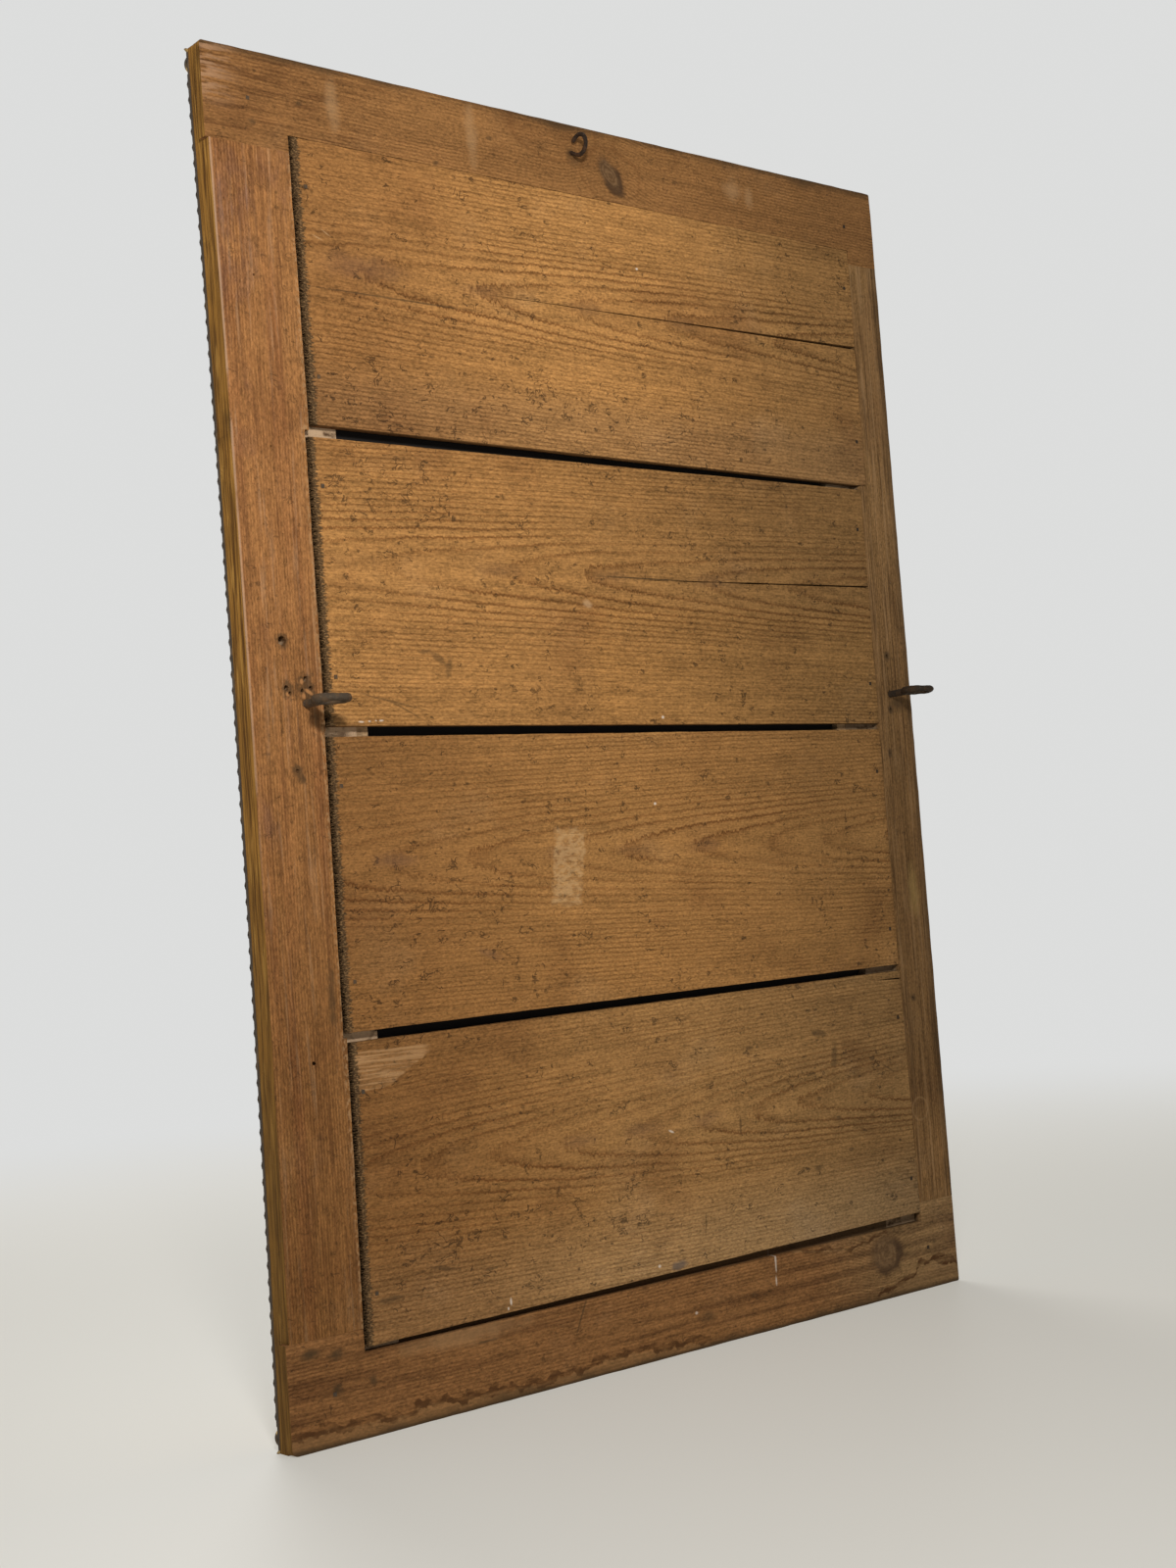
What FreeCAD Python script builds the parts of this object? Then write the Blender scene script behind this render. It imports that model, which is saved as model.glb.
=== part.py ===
import FreeCAD
import Part
import Sketcher
import math
import os

# Gilt wall mirror: a rebated softwood carcase with nailed backboards, and on its front
# a mitred gilt moulding, a pearl border and a sight slip that hold the mirror plate.
# Frame: x to the right seen from the front, y from the front to the wall, z up.
# The origin is the middle of the bottom rail's underside. All sizes are in millimetres.

SIZES = {
    # whole frame
    "width": 750,
    "height": 1060,
    "carcase_depth": 20,
    "rebate_depth": 9,
    # land: flush back face beside the boards; shelf: rebate floor that the boards lie on
    "top_land": 61.5,
    "top_shelf": 13.5,
    "bottom_land": 63,
    "bottom_shelf": 18,
    "right_stile_width": 106,
    "left_stile_width": 86,
    # the stiles' lands were cut to each board: width at the board's lower and upper edge
    "right_land_1_low": 75.3,
    "right_land_1_high": 74.2,
    "right_land_2_low": 71.6,
    "right_land_2_high": 71.4,
    "right_land_3_low": 68.8,
    "right_land_3_high": 70.6,
    "right_land_4_low": 69,
    "right_land_4_high": 71.8,
    "left_land_1_low": 38.4,
    "left_land_1_high": 38.2,
    "left_land_2_low": 48,
    "left_land_2_high": 47,
    "left_land_3_low": 48.2,
    "left_land_3_high": 48,
    "left_land_4_low": 46,
    "left_land_4_high": 48,
    # the right side has shrunk and bowed inwards between the rail ends
    "right_inset": 2,
    "right_bow": 4.7,
    # backboards
    "board_right_gap": 5,
    "board_left_gap": 0.7,
    "board_top_gap": 0.3,
    "board_gap_1": 10,
    "board_gap_2": 8.3,
    "board_gap_3": 7.8,
    "board_bottom_gap": 3.8,
    # each board: width beyond a quarter of the room, and how far its lower and upper edge
    # rise towards the left end
    "board_1_extra": 0.2,
    "board_1_lower_rise": -4.4,
    "board_1_upper_rise": 0,
    "board_2_extra": -1.6,
    "board_2_lower_rise": 0,
    "board_2_upper_rise": 0.9,
    "board_3_extra": -0.3,
    "board_3_lower_rise": 3.8,
    "board_3_upper_rise": 2.4,
    "board_4_extra": 1.7,
    "board_4_lower_rise": 5.2,
    "board_4_upper_rise": 5.6,
    # three boards have split from the left end; heights are from the lower right corner
    "split_1_height": 130.5,
    "split_1_length": 460,
    "split_1_mouth": 2.6,
    "split_1_drop": 5.5,
    "split_2_height": 131.5,
    "split_2_length": 341,
    "split_2_mouth": 1.8,
    "split_2_drop": 6,
    "split_4_height": 226,
    "split_4_length": 38,
    "split_4_mouth": 1.6,
    "split_4_drop": -1,
    "split_runout": 4,
    # square cut nails
    "nail_head": 3,
    "nail_head_depth": 1.2,
    "nail_shank": 1.8,
    "nail_length": 17,
    "nail_play": 0.1,
    "board_nail_end": 8,
    "board_nail_edge": 38,
    "corner_nail_side": 40,
    "corner_nail_end": 38,
    # mirror plate and the blocks glued behind its edges
    "plate_depth": 4,
    "plate_play": 2,
    "block_length": 36,
    "block_reach": 11,
    "block_board_gap": 0.5,
    "block_spread": 260,
    # gilt moulding, from its outer edge inwards
    "sight_lip": 8,
    "lip_depth": 5,
    "pearl_step_play": 0.3,
    "pearl_step_depth": 3,
    "cove_start_depth": 8,
    "cove_width": 34,
    "crest_depth": 22,
    "crest_width": 6,
    "ovolo_width": 18,
    "frieze_depth": 12,
    "cove_radius": 30,
    "ovolo_radius": 22,
    # sight slip on the moulding's lip
    "slip_width": 16,
    "slip_depth": 9,
    "slip_edge_depth": 2,
    "slip_radius": 15,
    # pearl border on the moulding's outer step
    "pearl_pitch": 12.3,
    "pearl_width": 11.2,
    "pearl_height": 4.8,
    "pearl_strip_width": 11.6,
    "pearl_strip_depth": 2,
    "pearl_margin": 0.3,
    "corner_pearl_margin": 10,
    "corner_pearl_width": 16,
    "corner_pearl_height": 8,
    "corner_pearl_gap": 0.6,
    # iron screw eyes in the stiles
    "eye_wire": 6.5,
    "eye_ring": 24.5,
    "eye_reach": 34,
    "eye_shank": 6.6,
    "eye_shank_in": 12,
    "eye_point": 4,
    "eye_play": 0.1,
    "right_eye_side": 56,
    "right_eye_height": 554,
    "left_eye_side": 29,
    "left_eye_height": 565,
    # hanging hook in the top rail
    "hook_wire": 3.4,
    "hook_bend": 8.8,
    "hook_lead": 11.5,
    "hook_in": 14,
    "hook_tip_turn": 62,
    "hook_offset": 10,
    "hook_drop": 25,
    "hook_play": 0.1,
}
SPLIT_BOARDS = (1, 2, 4)
PEARL_SIDES = 6
CORNER_PEARL_SIDES = 12
FORGED_SIDES = 8

doc = FreeCAD.newDocument("gilt_mirror")
dims = doc.addObject("Spreadsheet::Sheet", "dims")
for row, (alias, number) in enumerate(SIZES.items(), 1):
    dims.set(f"A{row}", alias)
    dims.set(f"B{row}", str(number))
    dims.setAlias(f"B{row}", alias)
doc.recompute()


class Size:
    """A length with the formula that binds it to the sheet."""

    def __init__(self, value, formula):
        self.value = value
        self.formula = formula

    def __add__(self, other):
        other = as_size(other)
        return Size(self.value + other.value, f"({self.formula} + {other.formula})")

    def __sub__(self, other):
        other = as_size(other)
        return Size(self.value - other.value, f"({self.formula} - {other.formula})")

    def __mul__(self, other):
        other = as_size(other)
        return Size(self.value * other.value, f"({self.formula} * {other.formula})")

    def __truediv__(self, other):
        other = as_size(other)
        return Size(self.value / other.value, f"({self.formula} / {other.formula})")

    def __neg__(self):
        return Size(-self.value, f"(0 - {self.formula})")


def as_size(number):
    return number if isinstance(number, Size) else Size(float(number), repr(float(number)))


def cell(alias):
    return Size(float(dims.get(alias)), f"dims.{alias}")


ZERO = as_size(0)
width, height = cell("width"), cell("height")
half_width = width / 2
carcase_depth, rebate_depth = cell("carcase_depth"), cell("rebate_depth")
back_plane = carcase_depth / 2
front_plane = -back_plane
top_rail_width = cell("top_land") + cell("top_shelf")
bottom_rail_width = cell("bottom_land") + cell("bottom_shelf")
right_stile_width, left_stile_width = cell("right_stile_width"), cell("left_stile_width")
moulding_width = right_stile_width + cell("sight_lip")
bow_reach = cell("right_inset") + cell("right_bow")
pearl_step = bow_reach + cell("pearl_margin") + cell("pearl_strip_width") + cell("pearl_step_play")
bow_radius = cell("right_bow") / 2 + height * height / (cell("right_bow") * 8)


def new_body(label):
    body = doc.addObject("PartDesign::Body", label)
    body.Label = label
    return body


def place(piece, x, y, z):
    for axis, size in zip("xyz", (x, y, z)):
        piece.setExpression(f"Placement.Base.{axis}", as_size(size).formula)


def new_sketch(body, role, name, lift=None):
    """A sketch on one of the body's own origin planes, lifted along the plane's normal."""
    plane = next(p for p in body.Origin.OriginFeatures if p.Role == role)
    sketch = body.newObject("Sketcher::SketchObject", f"{body.Label}_{name}")
    sketch.AttachmentSupport = [(plane, "")]
    sketch.MapMode = "FlatFace"
    if lift is not None:
        sketch.setExpression("AttachmentOffset.Base.z", lift.formula)
    return sketch


def pin(sketch, geometry, end, point):
    """Hold one end of a sketch line at a point that is measured from the sketch's origin."""
    for kind, size in zip(("DistanceX", "DistanceY"), point):
        index = sketch.addConstraint(Sketcher.Constraint(kind, -1, 1, geometry, end, size.value))
        sketch.setExpression(f"Constraints[{index}]", size.formula)


def arc_between(start, end, radius, centre_on_left):
    """The short arc between two points with its centre on the given side of the chord."""
    chord = end - start
    left = FreeCAD.Vector(-chord.y, chord.x, 0).normalize()
    reach = math.sqrt(radius ** 2 - (chord.Length / 2) ** 2)
    centre = (start + end) / 2 + left * (reach if centre_on_left else -reach)
    first, last = (start, end) if centre_on_left else (end, start)
    angles = [math.atan2(p.y - centre.y, p.x - centre.x) for p in (first, last)]
    return Part.ArcOfCircle(Part.Circle(centre, FreeCAD.Vector(0, 0, 1), radius), *angles)


def outline(sketch, corners, arcs=None):
    """A closed outline. arcs maps a corner's number to the radius of the arc that starts
    there and to whether the arc's centre is on the left of its chord."""
    arcs = arcs or {}
    corners = [(as_size(x), as_size(y)) for x, y in corners]
    points = [FreeCAD.Vector(x.value, y.value, 0) for x, y in corners]
    first = sketch.GeometryCount
    count = len(points)
    for i, start in enumerate(points):
        end = points[(i + 1) % count]
        if i in arcs:
            radius, centre_on_left = arcs[i]
            edge = arc_between(start, end, radius.value, centre_on_left)
        else:
            edge = Part.LineSegment(start, end)
        sketch.addGeometry(edge, False)
    ends = []
    for i, start in enumerate(points):
        geometry = sketch.Geometry[first + i]
        starts_here = geometry.StartPoint.distanceToPoint(start) < 1e-6
        ends.append((1, 2) if starts_here else (2, 1))
    for i in range(count):
        after = (i + 1) % count
        sketch.addConstraint(Sketcher.Constraint(
            "Coincident", first + i, ends[i][1], first + after, ends[after][0]))
        pin(sketch, first + i, ends[i][0], corners[i])
        if i in arcs:
            index = sketch.addConstraint(Sketcher.Constraint("Radius", first + i, arcs[i][0].value))
            sketch.setExpression(f"Constraints[{index}]", arcs[i][0].formula)


def rectangle(sketch, x_low, z_low, x_high, z_high):
    outline(sketch, [(x_low, z_low), (x_high, z_low), (x_high, z_high), (x_low, z_high)])


def square(sketch, centre, side):
    x, z = centre
    rectangle(sketch, x - side / 2, z - side / 2, x + side / 2, z + side / 2)


def circle(sketch, centre, diameter):
    x, z = as_size(centre[0]), as_size(centre[1])
    spot = FreeCAD.Vector(x.value, z.value, 0)
    index = sketch.addGeometry(Part.Circle(spot, FreeCAD.Vector(0, 0, 1), diameter.value / 2), False)
    pin(sketch, index, 3, (x, z))
    radius = sketch.addConstraint(Sketcher.Constraint("Radius", index, diameter.value / 2))
    sketch.setExpression(f"Constraints[{radius}]", (diameter / 2).formula)


def pad(body, sketch, length, symmetric=False):
    feature = body.newObject("PartDesign::Pad", f"{sketch.Name}_pad")
    feature.Profile = sketch
    feature.setExpression("Length", length.formula)
    if symmetric:
        feature.SideType = "Symmetric"
    doc.recompute()
    return feature


def pocket(body, sketch, depth=None, from_front=False):
    """Cut from the sketch into the body, forwards unless the cut starts at the front,
    and right through where no depth is given."""
    before = body.Shape.Volume
    feature = body.newObject("PartDesign::Pocket", f"{sketch.Name}_pocket")
    feature.Profile = sketch
    feature.Reversed = not from_front
    if depth is None:
        feature.Type = "ThroughAll"
    else:
        feature.setExpression("Length", depth.formula)
    doc.recompute()
    if body.Shape.Volume >= before:
        raise RuntimeError(f"{feature.Name} cuts nothing")
    return feature


# Places shared by the boards, the nails and their holes, measured in the whole frame.

lodging_low = cell("bottom_land")
lodging_high = height - cell("top_land")
board_gaps = [cell("board_gap_1"), cell("board_gap_2"), cell("board_gap_3")]
all_gaps = cell("board_top_gap") + board_gaps[0] + board_gaps[1] + board_gaps[2] + cell("board_bottom_gap")
board_extras = [cell(f"board_{number}_extra") for number in (1, 2, 3, 4)]
all_extras = board_extras[0] + board_extras[1] + board_extras[2] + board_extras[3]
board_width = (lodging_high - lodging_low - all_gaps - all_extras) / 4


def land(side, number, edge):
    """A stile's land beside the low or high edge of a board. side is 1 on the right."""
    return cell(f"{'right' if side > 0 else 'left'}_land_{number}_{edge}")


def board_end(side, number, edge):
    gap = cell("board_right_gap") if side > 0 else cell("board_left_gap")
    return (half_width - land(side, number, edge) - gap) * side


def board_spans():
    """Lower and upper corner of each backboard's right end, from the top board down."""
    spans = []
    upper = lodging_high - cell("board_top_gap")
    for number in range(4):
        lower = upper - board_width - board_extras[number]
        spans.append((lower, upper))
        if number < 3:
            upper = lower - board_gaps[number]
    return spans


def board_nail_places(side):
    """Two nails in the end of each board, on the right (1) or on the left (-1)."""
    edge = cell("board_nail_edge")
    places = []
    for number, (lower, upper) in enumerate(board_spans(), 1):
        end = (board_end(side, number, "low") + board_end(side, number, "high")) / 2
        x = end - cell("board_nail_end") * side
        places += [(x, lower + edge), (x, upper - edge)]
    return places


def corner_nail_places(side):
    x = (half_width - cell("corner_nail_side")) * side
    return [(x, cell("corner_nail_end")), (x, height - cell("corner_nail_end"))]


def nail_holes(body, places, x_shift, z_shift, name, heads):
    """Square holes for nails driven from the back, seen from the body's own origin."""
    grip = cell("nail_shank") + cell("nail_play") * 2
    shanks = new_sketch(body, "XZ_Plane", f"{name}_shanks")
    for x, z in places:
        square(shanks, (x - x_shift, z - z_shift), grip)
    pocket(body, shanks, cell("nail_length") + cell("nail_play"))
    if heads:
        sinks = new_sketch(body, "XZ_Plane", f"{name}_heads")
        for x, z in places:
            square(sinks, (x - x_shift, z - z_shift), cell("nail_head") + cell("nail_play") * 2)
        pocket(body, sinks, cell("nail_head_depth"))


def make_rail(label, rail_width, shelf, inner_edge, up):
    """A rail that runs the full width, halved at both ends. up is 1 on the top rail."""
    body = new_body(label)
    place(body, 0, back_plane, inner_edge)
    board = new_sketch(body, "XZ_Plane", "outline")
    rectangle(board, -half_width, ZERO, half_width, rail_width * up)
    pad(body, board, carcase_depth)
    rebate = new_sketch(body, "XZ_Plane", "rebate")
    number, edge = (1, "high") if up > 0 else (4, "low")
    left_edge, right_edge = land(-1, number, edge) - half_width, half_width - land(1, number, edge)
    rectangle(rebate, left_edge, ZERO, right_edge, shelf * up)
    pocket(body, rebate, rebate_depth)
    halving = new_sketch(body, "XZ_Plane", "halving", carcase_depth)
    rectangle(halving, half_width - right_stile_width, ZERO, half_width, rail_width * up)
    rectangle(halving, -half_width, ZERO, left_stile_width - half_width, rail_width * up)
    pocket(body, halving, carcase_depth - rebate_depth, from_front=True)
    corners = [p for side in (1, -1) for p in corner_nail_places(side)]
    own = [p for p in corners if (p[1].value > height.value / 2) == (up > 0)]
    nail_holes(body, own, ZERO, inner_edge, "nails", heads=True)
    return body


def make_stile(label, side, stile_width, eye_side, eye_height, inset=None, bow=None):
    """A stile between the rails, with tongues that reach behind their ends.
    side is 1 on the right; x runs outwards from the inner edge."""
    body = new_body(label)
    inner_edge = (half_width - stile_width) * side
    place(body, inner_edge, back_plane, 0)
    outer = (stile_width - inset if inset else stile_width) * side
    board = new_sketch(body, "XZ_Plane", "outline")
    bowed = {1: (bow, side < 0)} if bow else None
    outline(board, [(ZERO, ZERO), (outer, ZERO), (outer, height), (ZERO, height)], bowed)
    pad(body, board, carcase_depth)
    back_layer = new_sketch(body, "XZ_Plane", "rebate_and_halvings")
    rail_low, rail_high = bottom_rail_width, height - top_rail_width
    reach = stile_width * side
    spans = board_spans()
    steps = [rail_high]
    for (lower, _), (_, upper) in zip(spans, spans[1:]):
        steps.append((lower + upper) / 2)
    steps.append(rail_low)
    land_edge = []
    for number in (4, 3, 2, 1):
        low_edge = (stile_width - land(side, number, "low")) * side
        high_edge = (stile_width - land(side, number, "high")) * side
        if not land_edge or land_edge[-1][0].value != low_edge.value:
            land_edge.append((low_edge, steps[number]))
        land_edge.append((high_edge, steps[number - 1]))
    outline(back_layer, [
        (ZERO, ZERO), (reach, ZERO), (reach, rail_low), *land_edge,
        (reach, rail_high), (reach, height), (ZERO, height)])
    pocket(body, back_layer, rebate_depth)
    nail_holes(body, board_nail_places(side), inner_edge, ZERO, "board_nails", heads=False)
    nail_holes(body, corner_nail_places(side), inner_edge, ZERO, "corner_nails", heads=False)
    eye = new_sketch(body, "XZ_Plane", "eye")
    eye_x = (half_width - eye_side) * side - inner_edge
    circle(eye, (eye_x, eye_height), cell("eye_shank") + cell("eye_play") * 2)
    pocket(body, eye, cell("eye_shank_in") + cell("eye_point") + cell("eye_play"))
    return body


def make_board(number, lower, upper):
    """A backboard that lies flush in the rebate. Some have split from the left end."""
    body = new_body(f"backboard_{number}")
    place(body, 0, back_plane, lower)
    tall = upper - lower
    board = new_sketch(body, "XZ_Plane", "outline")
    outline(board, [
        (board_end(-1, number, "low"), cell(f"board_{number}_lower_rise")),
        (board_end(1, number, "low"), ZERO),
        (board_end(1, number, "high"), tall),
        (board_end(-1, number, "high"), tall + cell(f"board_{number}_upper_rise"))])
    pad(body, board, rebate_depth)
    own = [p for side in (1, -1) for p in board_nail_places(side)]
    own = [p for p in own if lower.value < p[1].value < upper.value]
    nail_holes(body, own, ZERO, lower, "nails", heads=True)
    if number in SPLIT_BOARDS:
        mouth = cell(f"split_{number}_mouth") / 2
        at_end = cell(f"split_{number}_height")
        left_end = board_end(-1, number, "low")
        past_end = left_end - cell("split_runout")
        split = new_sketch(body, "XZ_Plane", "split")
        outline(split, [
            (past_end, at_end - mouth),
            (left_end + cell(f"split_{number}_length"), at_end - cell(f"split_{number}_drop")),
            (past_end, at_end + mouth)])
        pocket(body, split)
    return body


def make_nails(label, places):
    """A group of square cut nails, driven flush with the back."""
    body = new_body(label)
    place(body, 0, back_plane, 0)
    for part, side, length in (("heads", cell("nail_head"), cell("nail_head_depth")),
                               ("shanks", cell("nail_shank"), cell("nail_length"))):
        sketch = new_sketch(body, "XZ_Plane", part)
        for centre in places:
            square(sketch, centre, side)
        pad(body, sketch, length)
    return body


# The mirror plate lies in the carcase's opening, against the back of the moulding.

opening_left = left_stile_width - half_width
opening_right = half_width - right_stile_width
opening_low = bottom_rail_width
opening_high = height - top_rail_width


def make_plate():
    body = new_body("mirror_plate")
    place(body, 0, front_plane + cell("plate_depth"), 0)
    plate = new_sketch(body, "XZ_Plane", "outline")
    play = cell("plate_play")
    rectangle(plate, opening_left + play, opening_low + play, opening_right - play, opening_high - play)
    pad(body, plate, cell("plate_depth"))
    return body


def make_blocks():
    """Softwood blocks glued to the carcase's inner edges, which hold the plate forwards."""
    body = new_body("plate_blocks")
    block_depth = carcase_depth - rebate_depth - cell("plate_depth") - cell("block_board_gap")
    place(body, 0, front_plane + cell("plate_depth") + block_depth, 0)
    blocks = new_sketch(body, "XZ_Plane", "blocks")
    half_block, reach = cell("block_length") / 2, cell("block_reach")
    middle_x = (opening_left + opening_right) / 2
    middle_z = (opening_low + opening_high) / 2
    for step in (-1, 0, 1):
        z = middle_z + cell("block_spread") * step
        rectangle(blocks, opening_left, z - half_block, opening_left + reach, z + half_block)
        rectangle(blocks, opening_right - reach, z - half_block, opening_right, z + half_block)
    for step in (-1, 1):
        x = middle_x + cell("block_spread") * step / 2
        rectangle(blocks, x - half_block, opening_low, x + half_block, opening_low + reach)
        rectangle(blocks, x - half_block, opening_high - reach, x + half_block, opening_high)
    pad(body, blocks, block_depth)
    return body


# Sticks of the front: x runs along the stick from its middle, z inwards from the frame's
# outer edge, and y = 0 is the carcase's front face. Each side turns the stick about y.

STICKS = {
    "bottom": (0, width, (ZERO, front_plane, ZERO)),
    "top": (180, width, (ZERO, front_plane, height)),
    "right": (-90, height, (half_width, front_plane, height / 2)),
    "left": (90, height, (-half_width, front_plane, height / 2)),
}


def place_stick(piece, side):
    turn, _, base = STICKS[side]
    piece.Placement = FreeCAD.Placement(
        FreeCAD.Vector(), FreeCAD.Rotation(FreeCAD.Vector(0, 1, 0), turn))
    place(piece, *base)


def mitre(body, length):
    """Cut both ends back at 45 degrees from the frame's outer corners."""
    ends = new_sketch(body, "XZ_Plane", "mitres")
    outer, inner = length / 2, length / 2 - moulding_width
    for end in (1, -1):
        outline(ends, [(outer * end, ZERO), (outer * end, moulding_width), (inner * end, moulding_width)])
    pocket(body, ends)


def make_moulding(side):
    body = new_body(f"moulding_{side}")
    place_stick(body, side)
    length = STICKS[side][1]
    cove_end = pearl_step + cell("cove_width")
    crest_end = cove_end + cell("crest_width")
    ovolo_end = crest_end + cell("ovolo_width")
    lip_start = moulding_width - cell("slip_width")
    section = new_sketch(body, "YZ_Plane", "section")
    outline(section, [
        (ZERO, ZERO),
        (-cell("pearl_step_depth"), ZERO),
        (-cell("pearl_step_depth"), pearl_step),
        (-cell("cove_start_depth"), pearl_step),
        (-cell("crest_depth"), cove_end),
        (-cell("crest_depth"), crest_end),
        (-cell("frieze_depth"), ovolo_end),
        (-cell("frieze_depth"), lip_start),
        (-cell("lip_depth"), lip_start),
        (-cell("lip_depth"), moulding_width),
        (ZERO, moulding_width)],
        {3: (cell("cove_radius"), True), 5: (cell("ovolo_radius"), False)})
    pad(body, section, length, symmetric=True)
    mitre(body, length)
    if side == "right":
        trim = new_sketch(body, "XZ_Plane", "bowed_edge")
        inset, outside = cell("right_inset"), -cell("right_inset")
        outline(trim, [
            (-length / 2, outside), (length / 2, outside), (length / 2, inset), (-length / 2, inset)],
            {2: (bow_radius, True)})
        pocket(body, trim)
    return body


def make_slip(side):
    body = new_body(f"sight_slip_{side}")
    place_stick(body, side)
    length = STICKS[side][1]
    seat = -cell("lip_depth")
    start = moulding_width - cell("slip_width")
    section = new_sketch(body, "YZ_Plane", "section")
    outline(section, [
        (seat, start),
        (seat - cell("slip_depth"), start),
        (seat - cell("slip_edge_depth"), moulding_width),
        (seat, moulding_width)],
        {1: (cell("slip_radius"), False)})
    pad(body, section, length - start * 2, symmetric=True)
    mitre(body, length)
    return body


def pearl(centre_x, centre_z, seat_y, pearl_width, pearl_height, rings, sides):
    """A half pearl on a seat, with flat facets between rings of corners.
    A ring is its share of the radius and its share of the height."""
    loops = []
    for radius_share, height_share in rings:
        radius = pearl_width / 2 * radius_share
        turns = [math.pi * (2 * i + 1) / sides for i in range(sides)]
        loops.append([FreeCAD.Vector(
            centre_x + radius * math.cos(turn),
            seat_y - pearl_height * height_share,
            centre_z + radius * math.sin(turn)) for turn in turns])
    faces = [loops[0], loops[-1]]
    for lower, upper in zip(loops, loops[1:]):
        for i in range(sides):
            after = (i + 1) % sides
            faces.append([lower[i], lower[after], upper[after], upper[i]])
    shell = Part.makeShell([Part.Face(Part.makePolygon(corners + corners[:1])) for corners in faces])
    solid = Part.makeSolid(shell)
    if solid.Volume < 0:
        solid.reverse()
    return solid


def make_pearl_strip(side):
    """A strip of pearls along the frame's outer edge, bowed with it on the right."""
    length = STICKS[side][1].value
    bowed = side == "right"
    inset = cell("right_inset").value if bowed else 0.0
    margin = inset + cell("pearl_margin").value
    strip_width = cell("pearl_strip_width").value
    corner_reach = cell("corner_pearl_margin") + cell("corner_pearl_width") / 2 + cell("corner_pearl_gap")
    half_run = length / 2 - corner_reach.value
    seat = -cell("pearl_step_depth").value
    strip_depth = cell("pearl_strip_depth").value

    def edge_offset(x):
        if not bowed:
            return 0.0
        radius, bow = bow_radius.value, cell("right_bow").value
        return math.sqrt(radius ** 2 - x ** 2) - (radius - bow)

    def edge_at(x, inwards):
        return FreeCAD.Vector(x, seat, margin + edge_offset(x) + inwards)

    def long_edge(inwards):
        ends = edge_at(-half_run, inwards), edge_at(half_run, inwards)
        if bowed:
            return Part.Arc(ends[0], edge_at(0, inwards), ends[1]).toShape()
        return Part.LineSegment(*ends).toShape()

    def end_edge(x):
        return Part.LineSegment(edge_at(x, 0), edge_at(x, strip_width)).toShape()

    edges = [long_edge(0), end_edge(half_run), long_edge(strip_width), end_edge(-half_run)]
    strip = Part.Face(Part.Wire(Part.sortEdges(edges)[0])).extrude(FreeCAD.Vector(0, -strip_depth, 0))
    pitch = cell("pearl_pitch").value
    count = int(2 * half_run // pitch)
    sunk = strip_depth / 2
    pearls = []
    for i in range(count):
        x = (i - (count - 1) / 2) * pitch
        spot = edge_at(x, strip_width / 2)
        pearls.append(pearl(
            spot.x, spot.z, seat - strip_depth + sunk, cell("pearl_width").value,
            cell("pearl_height").value + sunk, ((1, 0), (0.5, 1)), PEARL_SIDES))
    piece = doc.addObject("Part::Feature", f"pearl_strip_{side}")
    piece.Label = f"pearl_strip_{side}"
    piece.Shape = strip.multiFuse(pearls)
    place_stick(piece, side)
    return piece


def make_corner_pearls():
    """A larger pearl where two strips meet, in each corner of the outer step."""
    margin = cell("corner_pearl_margin").value
    seat = -cell("pearl_step_depth").value
    rings = ((1, 0), (1, 0.3), (0.8, 0.75), (0.35, 1))
    pearls = []
    for x in (margin - half_width.value, half_width.value - margin):
        for z in (margin, height.value - margin):
            pearls.append(pearl(
                x, z, seat, cell("corner_pearl_width").value,
                cell("corner_pearl_height").value, rings, CORNER_PEARL_SIDES))
    piece = doc.addObject("Part::Feature", "corner_pearls")
    piece.Label = "corner_pearls"
    piece.Shape = Part.makeCompound(pearls)
    place(piece, 0, front_plane, 0)
    return piece


def faceted_round(sketch, centre, diameter, sides):
    """A round section as a forging leaves it, with flats."""
    x, z = as_size(centre[0]), as_size(centre[1])
    turns = [math.pi * (2 * i + 1) / sides for i in range(sides)]
    outline(sketch, [(x + diameter / 2 * math.cos(t), z + diameter / 2 * math.sin(t)) for t in turns])


def revolve(body, sketch, axis):
    feature = body.newObject("PartDesign::Revolution", f"{sketch.Name}_revolution")
    feature.Profile = sketch
    feature.ReferenceAxis = (sketch, [axis])
    feature.Angle = 360
    doc.recompute()
    return feature


def make_eye(label, side, eye_side, eye_height):
    """A forged screw eye with its ring level, so that an upright wall pin passes through it."""
    body = new_body(label)
    place(body, (half_width - eye_side) * side, back_plane, eye_height)
    reach, ring_radius, shank_radius = cell("eye_reach"), cell("eye_ring") / 2, cell("eye_shank") / 2
    inside, tip = cell("eye_shank_in"), cell("eye_shank_in") + cell("eye_point")
    shank = new_sketch(body, "YZ_Plane", "shank")
    ring_edge = reach - ring_radius
    outline(shank, [(-tip, ZERO), (-inside, shank_radius), (ring_edge, shank_radius), (ring_edge, ZERO)])
    revolve(body, shank, "H_Axis")
    ring = new_sketch(body, "XZ_Plane", "ring", -reach)
    faceted_round(ring, (ring_radius, ZERO), cell("eye_wire"), FORGED_SIDES)
    revolve(body, ring, "V_Axis")
    return body


def make_side_eyes():
    eyes = doc.addObject("Part::Compound", "side_eyes")
    eyes.Label = "side_eyes"
    eyes.Links = [
        make_eye("right_eye", 1, cell("right_eye_side"), cell("right_eye_height")),
        make_eye("left_eye", -1, cell("left_eye_side"), cell("left_eye_height")),
    ]
    doc.recompute()
    return eyes


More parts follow.
